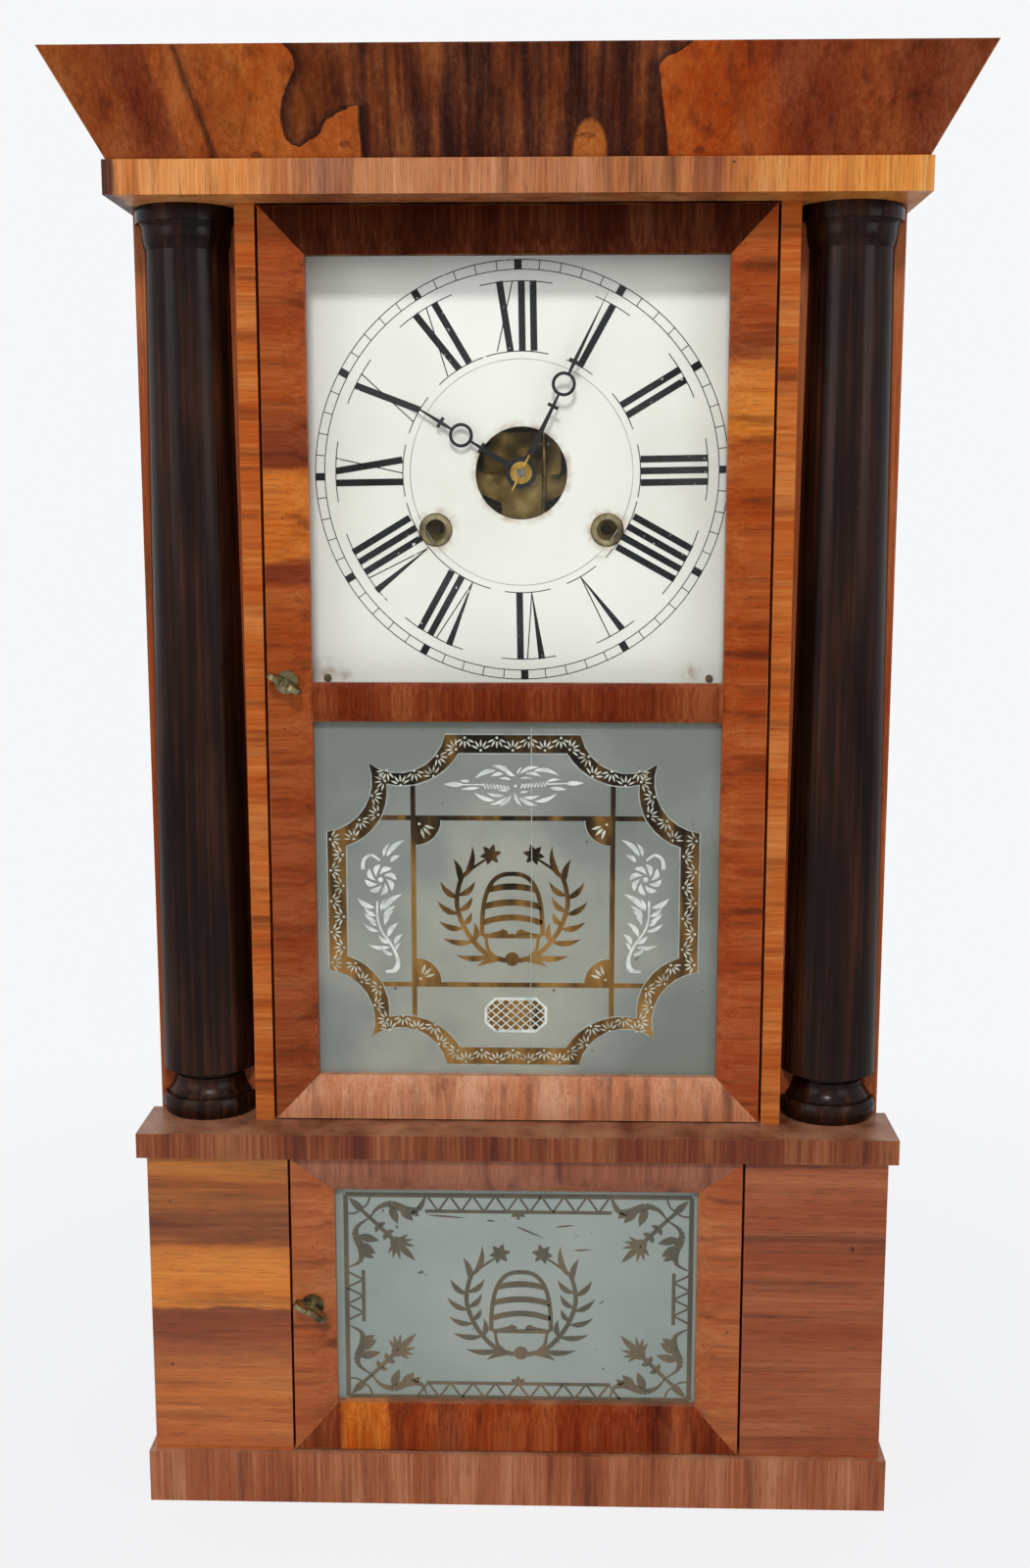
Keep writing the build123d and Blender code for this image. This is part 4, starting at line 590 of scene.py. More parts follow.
def skep():
    """A straw beehive in a wreath of two sprays with flowers, from the middle of the hive's foot."""
    width, rise = 13.7, 29.8

    def half_at(level):
        return width * (1 - level ** 2.7) ** (1 / 2.7)

    levels = [sin(k * pi / 24) ** 0.8 for k in range(13)]
    shapes = stroke([(-half_at(v), 1.0 + (rise - 1.0) * v) for v in levels]
                    + [(half_at(v), 1.0 + (rise - 1.0) * v) for v in levels[-2::-1]], 2.0)
    for low, high, bow in ((0.19, 0.285, 2.6), (0.44, 0.54, 2.0), (0.7, 0.8, 1.6)):
        low_line, high_line = ([(half_at(v) * t / 6, rise * v + bow * (1 - t * t / 36)) for t in range(-6, 7)]
                               for v in (low, high))
        shapes += between(low_line, high_line)
    shapes += stroke([(-width + 0.6, 1.0), (width - 0.6, 1.0)], 2.0)
    for side in (-1, 1):
        shapes.append([(side * x, z) for x, z in ((2.0, 1.8), (2.0, 3.2), (4.2, 4.3), (5.6, 3.4),
                                                  (12.0, 1.8))])
        spray = curve([(-3.0, -10.4), (-10.1, -8.3), (-16.0, -3.4), (-21.6, 4.7), (-24.8, 14.1),
                       (-24.6, 21.4),
                       (-22.5, 28.2), (-18.0, 32.2), (-11.5, 36.6)], 30)
        half = stroke(spray[:22], 2.3, 2.0) + stroke(spray[21:], 1.8, 0.9)
        half += stroke(curve([(-11.9, 0.5), (-10.9, -5.4), (-8.3, -8.4)], 8), 1.2, 2.0)
        for x0, z0, x1, z1, width_here, belly in (
                (-23.6, 25.5, -26.5, 36.6, 2.8, -0.1), (-22.2, 27.6, -18.0, 42.6, 2.8, -0.12),
                (-24.4, 18.4, -32.4, 26.1, 2.7, 0.12), (-24.6, 19.6, -16.7, 26.4, 2.7, -0.14),
                (-24.2, 11.0, -33.9, 17.2, 2.7, 0.12), (-24.4, 12.4, -18.0, 19.2, 2.6, -0.14),
                (-22.0, 4.4, -33.1, 7.8, 2.7, 0.12), (-22.6, 6.0, -18.4, 12.0, 2.5, -0.14),
                (-17.6, -1.6, -31.3, -0.2, 2.7, 0.1), (-17.4, -2.0, -17.1, 7.0, 2.7, -0.12),
                (-10.0, -8.4, -25.6, -8.0, 2.8, 0.09), (-4.0, -9.8, -16.0, -13.4, 2.7, -0.1)):
            half += blade(x0, z0, x1, z1, width_here, belly)
        for k in range(6):
            half += leaf(-9.7, 38.6, k * 60 + 12, 5.0, 2.6)
        shapes += moved(half, 0, 0, -side)
    return shapes + dot(0, -9.7, 3.3)


def see_through(name, stops, seed, low, high):
    """Painted colours of the case's wood as it lies in shade behind clear glass, browner or more golden from
    place to place and darker towards the top.
    """
    finish, tree, shader, place = new_finish(name)
    stripes = mottle(tree, place, (95.0, 20.0, 22.0), 2.0, seed)
    rise = put(tree, "MapRange", {
        0: put(tree, "SeparateXYZ", {0: place}).outputs[2],
        1: low, 2: high, 3: 0.14, 4: -0.18,
    }).outputs[0]
    colour = put(tree, "ValToRGB", {
        0: put(tree, "Math", {"operation": "ADD", 0: stripes, 1: rise}).outputs[0],
        "stops": stops,
    }).outputs[0]
    tree.links.new(colour, shader.inputs["Base Color"])
    polish = mottle(tree, place, 60.0, 2.0, seed + 5.0)
    tree.links.new(
        put(tree, "MapRange", {0: polish, 1: 0.3, 2: 0.7, 3: 0.16, 4: 0.34}).outputs[0],
        shader.inputs["Roughness"])
    shader.inputs["Specular IOR Level"].default_value = 0.15
    return finish


def line_paint(name, stops):
    """Thin old paint, worn in places."""
    finish, tree, shader, place = new_finish(name)
    worn = mottle(tree, place, 240.0, 3.0, 3.0)
    tree.links.new(put(tree, "ValToRGB", {0: worn, "stops": stops}).outputs[0], shader.inputs["Base Color"])
    tree.links.new(
        put(tree, "MapRange", {0: worn, 1: 0.3, 2: 0.7, 3: 0.45, 4: 0.65}).outputs[0],
        shader.inputs["Roughness"])
    return finish


tablet_centre = (-1.9, 278.7)
tablet_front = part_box("upper_tablet")[0][1]
tablet_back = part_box("upper_tablet")[1][1]
glass_lift = 0.00004
line_lift = 0.0001
paint_lift = 0.00016
back_step = 3e-6
# The clear parts are painted in the colours of the case's wood as it lies in shade behind the glass.
painted_shade_gold_glass = see_through("clear_glass_over_shaded_wood", [
    (0.3, "#171109"), (0.42, "#3c2c14"), (0.52, "#6a4c22"), (0.62, "#84602e"),
    (0.75, "#98743e")], 6.0, 0.2, 0.36)
white_paint = line_paint("white_line_paint", [(0.32, "#aeb8b0"), (0.5, "#c8d0c8"), (0.68, "#d9ded6")])
fan_paint = line_paint("dull_line_paint", [(0.32, "#8e8f7e"), (0.5, "#b4b6a6"), (0.68, "#c6c9ba")])
edge_paint = line_paint("pale_edge_line", [(0.32, "#868d84"), (0.5, "#9ba199"), (0.68, "#a9afa6")])

# Notched border of clear glass with small white fans, and the four lines and corner fans of the middle panel.
outer_edge = [(0, 76.0)] + arc((30.2, 76.0), (40.4, 61.5), (64.3, 63.1))
outer_edge += arc((64.3, 63.1), (64.9, 45.7), (83.4, 31.9))[1:] + [(83.4, 0)]
inner_edge = [(0, 68.1)] + arc((24.3, 68.1), (38.6, 55.6), (56.7, 54.1))
inner_edge += arc((56.7, 54.1), (61.0, 36.3), (75.4, 25.6))[1:] + [(75.4, 0)]
clear, white, fans, hairline = [], [], [], []
for side in (-1, 1):
    for rise in (-1, 1):
        outer = [(side * x, rise * z) for x, z in outer_edge]
        inner = [(side * x, rise * z) for x, z in inner_edge]
        clear += between(outer, inner)
        hairline += stroke([(x * 1.005, z * 1.006) for x, z in outer], 0.45)
        hairline += stroke([(x * 0.993, z * 0.991) for x, z in inner], 0.45)
        middle = [((a[0] + b[0]) / 2, (a[1] + b[1]) / 2) for a, b in zip(outer, inner)]
        length = sum(hypot(b[0] - a[0], b[1] - a[1]) for a, b in zip(middle, middle[1:]))
        count = round(length / 7.0)
        for k in range(0 if side > 0 else 1, count + 1 if rise > 0 else count):
            x, z, heading = walk(middle, length * k / count)
            heading += 90 * side * rise * (1 if k % 2 == 0 else -1)
            x -= 2.8 * cos(radians(heading))
            z -= 2.8 * sin(radians(heading))
            fans += dot(x, z, 0.6)
            for turn, reach in ((-62, 3.4), (-31, 3.5), (0, 3.4), (31, 3.5), (62, 3.4)):
                way = radians(heading + turn)
                fans += leaf(x + 1.5 * cos(way), z + 1.5 * sin(way), heading + turn, reach, 0.85)
        for line in (((44.8, 38.5), (44.8, 54.4)), ((44.8, 38.5), (61.5, 38.5)), ((44.8, 0), (44.8, 38.5)),
                     ((0, 38.5), (45.9, 38.5))):
            clear += stroke([(side * x, rise * z) for x, z in line], 2.2)
        rim = [(43.8 - 11.6 * cos(k * pi / 16), 37.5 - 11.6 * sin(k * pi / 16)) for k in range(9)]
        clear.append([(side * x, rise * z) for x, z in [(44.4, 38.1)] + rim])
        hairline += stroke([(side * x, rise * z) for x, z in rim], 0.45)
        fans += dot(side * 42.0, rise * 35.8, 0.6)
        for turn in (18, 45, 72):
            way = atan2(-rise * sin(radians(turn)), -side * cos(radians(turn)))
            fans += leaf(side * 42.0 + 2.4 * cos(way), rise * 35.8 + 2.4 * sin(way), degrees(way), 4.8, 1.3)
clear += moved(skep(), -0.3, -16.7)

# Hatched octagon under the hive, a spray of leaves over it and a flower on each side.
octagon = [(-13.7, 3.4), (-13.7, -3.4), (-9.2, -7.6), (9.2, -7.6), (13.7, -3.4), (13.7, 3.4), (9.2, 7.6),
           (-9.2, 7.6)]
clear += moved([octagon], 1.35, -52.6)
hatch = stroke(octagon + octagon[:1], 1.4)
for k in range(-5, 6):
    for way in (-1, 1):
        line = [(k * 4.5 + way * t * 0.38 * 1.15, t * 0.38) for t in range(-20, 21)]
        held = [(x, z) for x, z in line if abs(x) < 13.4 and abs(x) + abs(z) < 16.6]
        if len(held) > 2:
            hatch += stroke([held[0], held[-1]], 0.5)
white += moved(hatch, 1.35, -52.6)

spray = dot(0, 0, 0.7) + stroke([(-24, 0.5), (-14, 0.5)], 0.6) + stroke([(14, 0.9), (23, 1.2)], 0.6)
for k in range(8):
    spray += stroke([(-14.4 + k * 1.5, 1.0 - k * 0.12), (-13.4 + k * 1.5, -1.2 - k * 0.06)], 0.8)
    spray += stroke([(2.4 + k * 1.5, -1.0 + k * 0.12), (3.5 + k * 1.5, 0.9 + k * 0.14)], 0.8)
for x0, z0, x1, z1, width, belly in (
        (0.6, 5.3, 3.0, 8.6, 1.0, 0.06), (1.8, 5.4, 10.8, 8.4, 1.7, 0.12), (8.0, 6.9, 19.4, 4.6, 2.0, 0.12),
        (4.2, 5.5, 11.9, 3.9, 1.6, 0.12), (2.0, 3.3, 7.5, 3.3, 1.0, 0.08), (13.8, 1.8, 20.3, 2.9, 1.2, 0.08),
        (-0.2, 4.4, -4.8, 9.4, 1.8, 0.16), (-3.2, 5.6, -10.7, 9.0, 2.0, -0.14),
        (-8.8, 7.0, -18.1, 3.3, 2.2, -0.1),
        (-5.5, 5.4, -11.2, 4.1, 1.7, -0.1), (-2.0, 2.7, -7.3, 3.3, 1.1, -0.08),
        (-20.5, 2.1, -24.9, 2.2, 1.3, 0.0),
        (-2.0, -4.3, -7.4, -9.1, 1.6, 0.1), (-3.7, -4.9, -11.7, -8.4, 1.7, 0.1),
        (-9.3, -6.6, -18.5, -2.9, 2.0, 0.1),
        (-5.2, -4.3, -12.8, -3.2, 1.6, 0.08), (-3.2, -2.1, -7.9, -2.0, 0.9, 0.0),
        (-16.0, -0.9, -24.7, -1.6, 1.4, 0.0),
        (-0.5, -3.0, 2.8, -9.1, 1.5, -0.1), (1.7, -5.2, 10.1, -8.7, 1.9, -0.1),
        (8.2, -6.9, 18.6, -3.3, 1.9, -0.1),
        (3.2, -5.1, 11.0, -4.2, 1.5, -0.08), (2.0, -2.9, 5.9, -2.5, 0.9, 0.0),
        (15.4, -0.9, 22.7, -1.5, 1.7, 0.0),
        (-23.2, 0.5, -32.4, 0.7, 2.3, 0.0), (22.2, 1.2, 30.6, 1.4, 2.1, 0.0)):
    spray += blade(x0, z0, x1, z1, width, belly)
white += moved(spray, 1.2, 53.2)

flower = dot(0, 10.1, 1.2)
for k in range(8):
    root, tip = k * pi / 4, k * pi / 4 + 0.95
    flower += blade(7.2 * cos(root), 10.1 + 7.2 * sin(root), 2.3 * cos(tip), 10.1 + 2.3 * sin(tip), 2.4, -0.2)
flower += stroke(curve([(-0.2, 18.9), (-4.0, 21.4), (-7.4, 19.3), (-8.0, 14.8)], 12), 1.0, 1.8)
stem = curve([(-1.6, 0.2), (-1.6, -7.5), (0.3, -13.9), (4.1, -19.3), (6.8, -24.7), (7.4, -29.0), (5.8, -32.0),
              (1.7, -32.6)], 28)
flower += stroke(stem[:15], 0.9, 1.2) + stroke(stem[14:23], 1.2, 2.5) + stroke(stem[22:], 2.5, 1.0)
for x0, z0, x1, z1, width, belly in (
        (1.4, 20.8, 4.2, 26.8, 1.7, 0.1), (2.8, 20.8, 11.2, 28.4, 2.4, 0.1), (4.4, 18.2, 9.0, 21.3, 2.1, 0.1),
        (-2.9, -2.9, -10.8, 1.7, 2.4, 0.1), (-2.2, -6.8, -7.6, -2.7, 2.0, 0.1),
        (-2.2, -9.3, -7.6, -5.3, 1.7, 0.1),
        (-1.7, -11.2, -5.4, -8.0, 1.5, 0.1), (-0.8, -13.9, -8.2, -10.0, 1.8, 0.1),
        (3.4, -19.4, -1.2, -15.7, 1.9, 0.1),
        (4.0, -21.0, -5.9, -20.1, 1.9, 0.1), (5.3, -24.8, 0.1, -21.8, 1.7, 0.1),
        (0.8, -3.9, 9.8, 3.4, 2.6, 0.1),
        (0.1, -4.4, 2.3, 1.5, 1.5, 0.1), (1.1, -7.4, 6.9, -1.9, 2.1, 0.1), (1.3, -9.3, 5.9, -4.2, 1.7, 0.1),
        (1.3, -10.9, 4.3, -7.0, 1.3, 0.1), (2.9, -16.5, 8.1, -9.7, 2.3, 0.12),
        (5.9, -20.1, 9.9, -15.0, 2.1, 0.12),
        (6.5, -22.5, 8.8, -18.9, 1.4, 0.1)):
    flower += blade(x0, z0, x1, z1, width, belly)
white += moved(flower, -59.7, 0) + moved(flower, 59.7, 0.6, -1)

# The crack that runs down the pane shows as one pale line.
hairline += stroke([(8.2, 80.0), (8.5, 20.0), (8.2, -30.0), (8.0, -68.0)], 0.4)
lay("upper_ornament", moved(clear, *tablet_centre), tablet_front - glass_lift, painted_shade_gold_glass, "upper_door")
lay("upper_ornament_back", moved(clear, *tablet_centre), tablet_back + glass_lift, painted_shade_gold_glass, "upper_door",
    back_step)
lay("upper_edge_lines", moved(hairline, *tablet_centre), tablet_front - line_lift, edge_paint, "upper_door")
lay("upper_border_fans", moved(fans, *tablet_centre), tablet_front - paint_lift, fan_paint, "upper_door")
lay("upper_white_sprays", moved(white, *tablet_centre), tablet_front - paint_lift, white_paint, "upper_door")

# Lower tablet: a lined border with zigzags and leafy corners round the same hive and wreath.
lower_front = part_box("lower_tablet")[0][1]
lower_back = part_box("lower_tablet")[1][1]
lower_shift = (1.0, 0.3)
# The clear parts are painted in the colours of the case as it lies in shade behind the glass.
shade_glass = see_through("clear_glass_over_shadow", [
    (0.3, "#56544a"), (0.45, "#605a4c"), (0.55, "#685e4e"), (0.7, "#72644f")], 16.0, 0.03, 0.15)


def acanthus(points, swell):
    """A scrolled leaf that swells in its middle."""
    line = curve(points, 16)
    shapes = []
    for k in range(15):
        wide, next_wide = (0.6 + swell * sin(pi * j / 15) ** 1.3 for j in (k, k + 1))
        shapes += stroke([line[k], line[k + 1]], wide, next_wide)
    return shapes


frame_side, frame_foot, frame_top = 78.6, 47.5, 145.8
line_side, line_foot, line_top = 71, 54.6, 138.2
frame_corners = [(-frame_side, frame_foot), (frame_side, frame_foot), (frame_side, frame_top),
                 (-frame_side, frame_top)]
etched = []
for a, b in zip(frame_corners, frame_corners[1:] + frame_corners[:1]):
    etched += stroke([a, b], 2.2)
for rise, edge, inner in ((1, frame_top, line_top), (-1, frame_foot, line_foot)):
    etched += stroke([(-42.5, inner), (42.5, inner)], 1.7)
    for k in range(9):
        x = -41.7 + k * 83.4 / 8
        peak, foot = (inner, edge) if rise < 0 else (edge, inner)
        etched += stroke([(x - 5.2, foot), (x, peak)], 1.0) + stroke([(x, peak), (x + 5.2, foot)], 1.0)
    for turn in (-90 * rise - 52, -90 * rise, -90 * rise + 52):
        etched += leaf(0, inner, turn, 4.0, 2.2)
for side in (-1, 1):
    etched += stroke([(side * line_side, 84.4), (side * line_side, 109.4)], 1.7)
    for k in range(3):
        z = 84.8 + k * 8.0
        etched += stroke([(side * frame_side, z), (side * line_side, z + 4.0)], 1.0)
        etched += stroke([(side * line_side, z + 4.0), (side * frame_side, z + 8.0)], 1.0)
    for rise, join in ((1, 134.2), (-1, 58.8)):
        corner = acanthus([(67.6, 0.6), (64.2, 5.2), (59.0, 7.3), (55.2, 6.3), (51.3, 4.6), (47.5, 4.3),
                           (44.2, 5.6),
                           (42.3, 10.4)], 3.2)
        corner += acanthus([(67.6, 0.6), (72.9, -3.1), (74.5, -6.9), (73.2, -10.5), (71.8, -13.7),
                            (71.5, -17.5),
                            (72.6, -20.8), (77.4, -23.4)], 3.2)
        for x0, z0, x1, z1, width in (
                (58.2, 6.4, 54.9, -2.4, 4.0), (53.6, 5.8, 48.0, -0.8, 4.4), (49.6, 5.2, 45.2, 1.4, 3.2),
                (73.0, -8.2, 63.4, -10.5, 4.0), (72.6, -12.0, 65.2, -16.8, 4.4),
                (72.0, -15.4, 66.0, -19.0, 3.2)):
            corner += blade(x0, z0, x1, z1, width)
        corner += stroke([(75.5, 8.0), (67.6, 0.6), (61.0, -5.9), (55.8, -11.1)], 1.6, 2.2)
        corner += leaf(70.2, 3.2, 45, 10.0, 3.4) + dot(55.8, -11.1, 2.8)
        for turn in (-62, 62):
            corner += leaf(64.0, -3.0, 225 + turn, 3.8, 2.2) + leaf(60.2, -6.7, 225 + turn, 3.8, 2.4)
        for turn, size, width in ((-80, 6.8, 1.9), (-56, 8.0, 1.9), (-33, 8.8, 1.9), (0, 12.6, 3.2),
                                  (33, 8.8, 1.9),
                                  (56, 8.0, 1.9), (80, 6.8, 1.9)):
            corner += leaf(55.8, -11.1, 225 + turn, size, width)
        corner += stroke(curve([(71.0, 5.2), (68.8, 7.0), (67.4, 11.0)], 6), 0.9)
        corner += stroke(curve([(72.2, 4.0), (74.8, 2.6), (78.2, 2.4)], 6), 0.9)
        etched += [[(side * x, join + rise * z) for x, z in shape] for shape in corner]
etched += moved(skep(), 1.3, 79.5)
for x, z, angle, size in ((-1.5, 131.6, -24, 15), (-42, 136.4, -4, 19), (17, 131.2, 6, 9),
                          (-14.5, 134.0, -3, 4), (25, 120.0, 3, 9)):
    etched += leaf(x, z, angle, size, 0.9)
lay("lower_ornament", moved(etched, *lower_shift), lower_front - glass_lift, shade_glass, "lower_door")
lay("lower_ornament_back", moved(etched, *lower_shift), lower_back + glass_lift, shade_glass, "lower_door",
    back_step)

# Dial
# A sheet of tin nailed to the inner rails and painted warm white. The paint has yellowed a little, with rust
# bleeding round the holes and corners.
dial_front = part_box("dial")[0][1]
dial_x, dial_z = 1.5, 469.7
ink_lift = 0.00004
pencil_lift = 0.00003
dial_finish, tree, shader, place = new_finish("white_dial_paint_aged")
cloud = mottle(tree, place, 14.0, 4.0, 2.0)
colour = put(tree, "ValToRGB", {
    0: cloud, "stops": [(0.3, "#dcddd2"), (0.5, "#e5e7dd"), (0.7, "#ebede5")],
}).outputs[0]
rust = None
for x, z, inner, outer in ((-36.65, 444.8, 6.8, 11.5), (39.65, 444.8, 6.8, 11.5),
                           (dial_x, dial_z, 20.3, 23.5), (-86.0, 381.0, 1.0, 8.5),
                           (-78.5, 379.0, 0.5, 4.5), (78.0, 381.0, 0.5, 6.0)):
    ring = put(tree, "MapRange", {
        0: oval(tree, place, x / 1000, z / 1000, outer / 1000, outer / 1000), 1: 1.0, 2: inner / outer,
    }).outputs[0]
    rust = ring if rust is None else put(tree, "Math", {"operation": "MAXIMUM", 0: rust, 1: ring}).outputs[0]
blotch = put(tree, "MapRange", {0: mottle(tree, place, 190.0, 4.0, 7.0), 1: 0.36, 2: 0.68}).outputs[0]
colour = put(tree, "Mix", {
    "data_type": "RGBA",
    0: put(tree, "Math", {
        "operation": "MULTIPLY",
        0: put(tree, "Math", {"operation": "MULTIPLY", 0: rust, 1: blotch}).outputs[0],
        1: 0.85,
    }).outputs[0],
    6: colour, 7: linear("#9c7a48"),
}).outputs[2]
scars = put(tree, "MapRange", {
    0: mottle(tree, place, (38.0, 38.0, 120.0), 4.0, 12.0), 1: 0.735, 2: 0.77,
}).outputs[0]
colour = put(tree, "Mix", {
    "data_type": "RGBA",
    0: put(tree, "Math", {"operation": "MULTIPLY", 0: scars, 1: 0.3}).outputs[0],
    6: colour, 7: linear("#a8967a"),
}).outputs[2]
tree.links.new(colour, shader.inputs["Base Color"])
tree.links.new(
    put(tree, "MapRange", {0: cloud, 1: 0.3, 2: 0.7, 3: 0.36, 4: 0.52}).outputs[0],
    shader.inputs["Roughness"])
bump = put(tree, "Bump", {
    "Strength": 0.08, "Distance": 0.0002, "Height": mottle(tree, place, (40.0, 40.0, 700.0), 2.0, 5.0),
})
tree.links.new(bump.outputs["Normal"], shader.inputs["Normal"])
dress(["dial"], dial_finish)

# Painted chapter ring: minute track, Roman numerals set radially, each with fine serif arcs. The print sits
# turned a little to the left on the sheet, and its black is worn through in small flecks.
print_turn = -1.0
track_inner, track_outer = 87.4, 91.5
numeral_inner, numeral_outer = 52.7, 82.5
thick_stroke, thin_stroke = 3.0, 0.5


def on_dial(hour, across, radius):
    """A place on the dial: to the right of an hour's own line as it is read, and out from the centre."""
    way = radians(hour * 30 + print_turn)
    return (dial_x + radius * sin(way) + across * cos(way), dial_z + radius * cos(way) - across * sin(way))


def ring_line(radius, width, start=0.0, end=360.0):
    """An arc round the dial centre, in degrees clockwise from twelve."""
    count = max(4, int((end - start) / 3) + 1)
    points = [on_dial((start + (end - start) * k / (count - 1)) / 30, 0, radius) for k in range(count)]
    return stroke(points, width)


ink = ring_line(track_outer, 0.4) + ring_line(track_inner, 0.4)
for minute in range(60):
    width = 3.3 if minute % 5 == 0 else 0.38
    ink += stroke([on_dial(minute / 5, 0, track_inner), on_dial(minute / 5, 0, track_outer)], width)
strokes = {
    "I": [(thick_stroke, thick_stroke, 0.0, 0.0)],
    "V": [(thick_stroke, 0.3, -3.3, 0.8), (thin_stroke, thin_stroke, 3.2, 0.8)],
    "X": [(thick_stroke, thick_stroke, -2.2, 2.2), (thin_stroke, thin_stroke, 3.5, -3.6)],
}
half_widths = {"I": 2.55, "V": 3.75, "X": 4.85}
own_shift = {6: -2.0, 9: 2.0, 12: -1.0}
numerals = ("I", "II", "III", "IIII", "V", "VI", "VII", "VIII", "IX", "X", "XI", "XII")
for hour, letters in enumerate(numerals, 1):
    total = 2 * sum(half_widths[letter] for letter in letters)
    across = own_shift.get(hour, 0.0) - total / 2
    first, last = across, across + total
    for letter in letters:
        across += half_widths[letter]
        for width, foot_width, top, foot in strokes[letter]:
            ends = [on_dial(hour, across + foot, numeral_inner), on_dial(hour, across + top, numeral_outer)]
            ink += stroke(ends, foot_width, width)
        across += half_widths[letter]
    for radius, reach in ((numeral_outer, 6.0), (numeral_inner, 4.0)):
        a, b = (degrees((edge + way * reach) / radius) for edge, way in ((first, -1), (last, 1)))
        ink += ring_line(radius, 0.42, hour * 30 + a, hour * 30 + b)
ink_finish, tree, shader, place = new_finish("black_dial_ink")
flecks = put(tree, "MapRange", {0: mottle(tree, place, 420.0, 3.0, 4.0), 1: 0.67, 2: 0.71}).outputs[0]
body_ink = put(tree, "ValToRGB", {
    0: mottle(tree, place, 60.0, 2.0, 8.0), "stops": [(0.3, "#0d0f0f"), (0.7, "#1c1f20")],
}).outputs[0]
tree.links.new(
    put(tree, "Mix", {"data_type": "RGBA", 0: flecks, 6: body_ink, 7: linear("#d8d6ca")}).outputs[2],
    shader.inputs["Base Color"])
tree.links.new(
    put(tree, "MapRange", {0: flecks, 1: 0.0, 2: 1.0, 3: 0.4, 4: 0.55}).outputs[0],
    shader.inputs["Roughness"])
shader.inputs["Specular IOR Level"].default_value = 0.1
lay("dial_numerals", ink, dial_front - ink_lift, ink_finish, "case")
pencil_finish, tree, shader, place = new_finish("grey_dial_line")
grey = put(tree, "ValToRGB", {
    0: mottle(tree, place, 90.0, 2.0, 3.0), "stops": [(0.3, "#77776f"), (0.7, "#b4b3a9")],
}).outputs[0]
tree.links.new(grey, shader.inputs["Base Color"])
lay("dial_inner_circle", ring_line(49.4, 0.32), dial_front - pencil_lift, pencil_finish, "case")

# Movement, hands and fittings
# Sheet brass gone brown, black painted hands, plain steel and rough cast iron. Tarnish lies in clouds 11 mm
# wide on plates and wheels, and in finer ones on the small fittings.


def metal(name, stops, seed, rough, scale=90.0, metallic=1.0, relief=0.1):
    """A metal with tarnish in clouds and spots, and fine scratches."""
    finish, tree, shader, place = new_finish(name)
    cloud = mottle(tree, place, scale, 4.0, seed)
    spots = put(tree, "MapRange", {
        0: mottle(tree, place, scale * 9, 2.0, seed + 5.0), 1: 0.66, 2: 0.74,
    }).outputs[0]
    colour = put(tree, "Mix", {
        "data_type": "RGBA",
        0: put(tree, "Math", {"operation": "MULTIPLY", 0: spots, 1: 0.5}).outputs[0],
        6: put(tree, "ValToRGB", {0: cloud, "stops": stops}).outputs[0],
        7: linear(stops[0][1]),
    }).outputs[2]
    tree.links.new(colour, shader.inputs["Base Color"])
    tree.links.new(
        put(tree, "MapRange", {0: cloud, 1: 0.3, 2: 0.7, 3: rough + 0.1, 4: rough - 0.08}).outputs[0],
        shader.inputs["Roughness"])
    bump = put(tree, "Bump", {
        "Strength": relief, "Distance": 0.0002,
        "Height": mottle(tree, place, (scale * 4, scale * 22, scale * 22), 2.0, seed + 9.0),
    })
    tree.links.new(bump.outputs["Normal"], shader.inputs["Normal"])
    shader.inputs["Metallic"].default_value = metallic
    shader.inputs["Specular IOR Level"].default_value = 0.2
    return finish


plate_finish = metal("tarnished_plate_brass", [
    (0.32, "#3d3016"), (0.48, "#6e5a2d"), (0.6, "#85703e"), (0.72, "#998653")], 2.0, 0.36)

# Above the centre arbor the clock has dark openings in its plate. This plate is whole there, so it is
# darkened with painted shade instead.
tree = plate_finish.node_tree
shader = tree.nodes["Principled BSDF"]
place = put(tree, "TexCoord").outputs["Object"]
height = put(tree, "SeparateXYZ", {0: place}).outputs[2]
ragged = put(tree, "MapRange", {
    0: mottle(tree, place, 120.0, 3.0, 7.0), 1: 0.25, 2: 0.75, 3: -0.008, 4: 0.008,
}).outputs[0]
painted_opening_shade = put(tree, "MapRange", {
    0: put(tree, "Math", {"operation": "ADD", 0: height, 1: ragged}).outputs[0],
    1: 0.466, 2: 0.475, 3: 0.0, 4: 0.9,
}).outputs[0]
brass = shader.inputs["Base Color"].links[0].from_socket
tree.links.new(
    put(tree, "Mix", {"data_type": "RGBA", 0: painted_opening_shade, 6: brass, 7: linear("#0f0b06")}).outputs[2],
    shader.inputs["Base Color"])
dress(["front_plate"], plate_finish)
# The back plate and the drums are much darker than the other brass: painted shade for where they sit deep
# behind the dial.
dress(["back_plate"], metal("painted_shade_back_plate_brass", [
    (0.32, "#1a120a"), (0.48, "#32240f"), (0.6, "#463416"), (0.72, "#5c4620")], 5.0, 0.44))
dress(["time_drum", "strike_drum"], metal("painted_shade_drum_brass", [
    (0.32, "#120e08"), (0.48, "#241b0e"), (0.6, "#362a15"), (0.72, "#4a3a1e")], 11.0, 0.5))
dress(["second_wheel", "third_wheel", "escape_wheel", "minute_gear", "motion_wheel", "hour_wheel",
       "pin_wheel", "fly", "pendulum"],
      metal("tarnished_wheel_brass", [
          (0.32, "#2e230e"), (0.48, "#5c4820"), (0.6, "#7c6432"), (0.72, "#9c8348")], 8.0, 0.36))
dress(["upper_latch", "lower_latch"], metal("turn_latch_brass", [
    (0.32, "#4a4230"), (0.48, "#7a6f52"), (0.6, "#978c6c"), (0.72, "#bdb390")], 14.0, 0.28, 160.0))
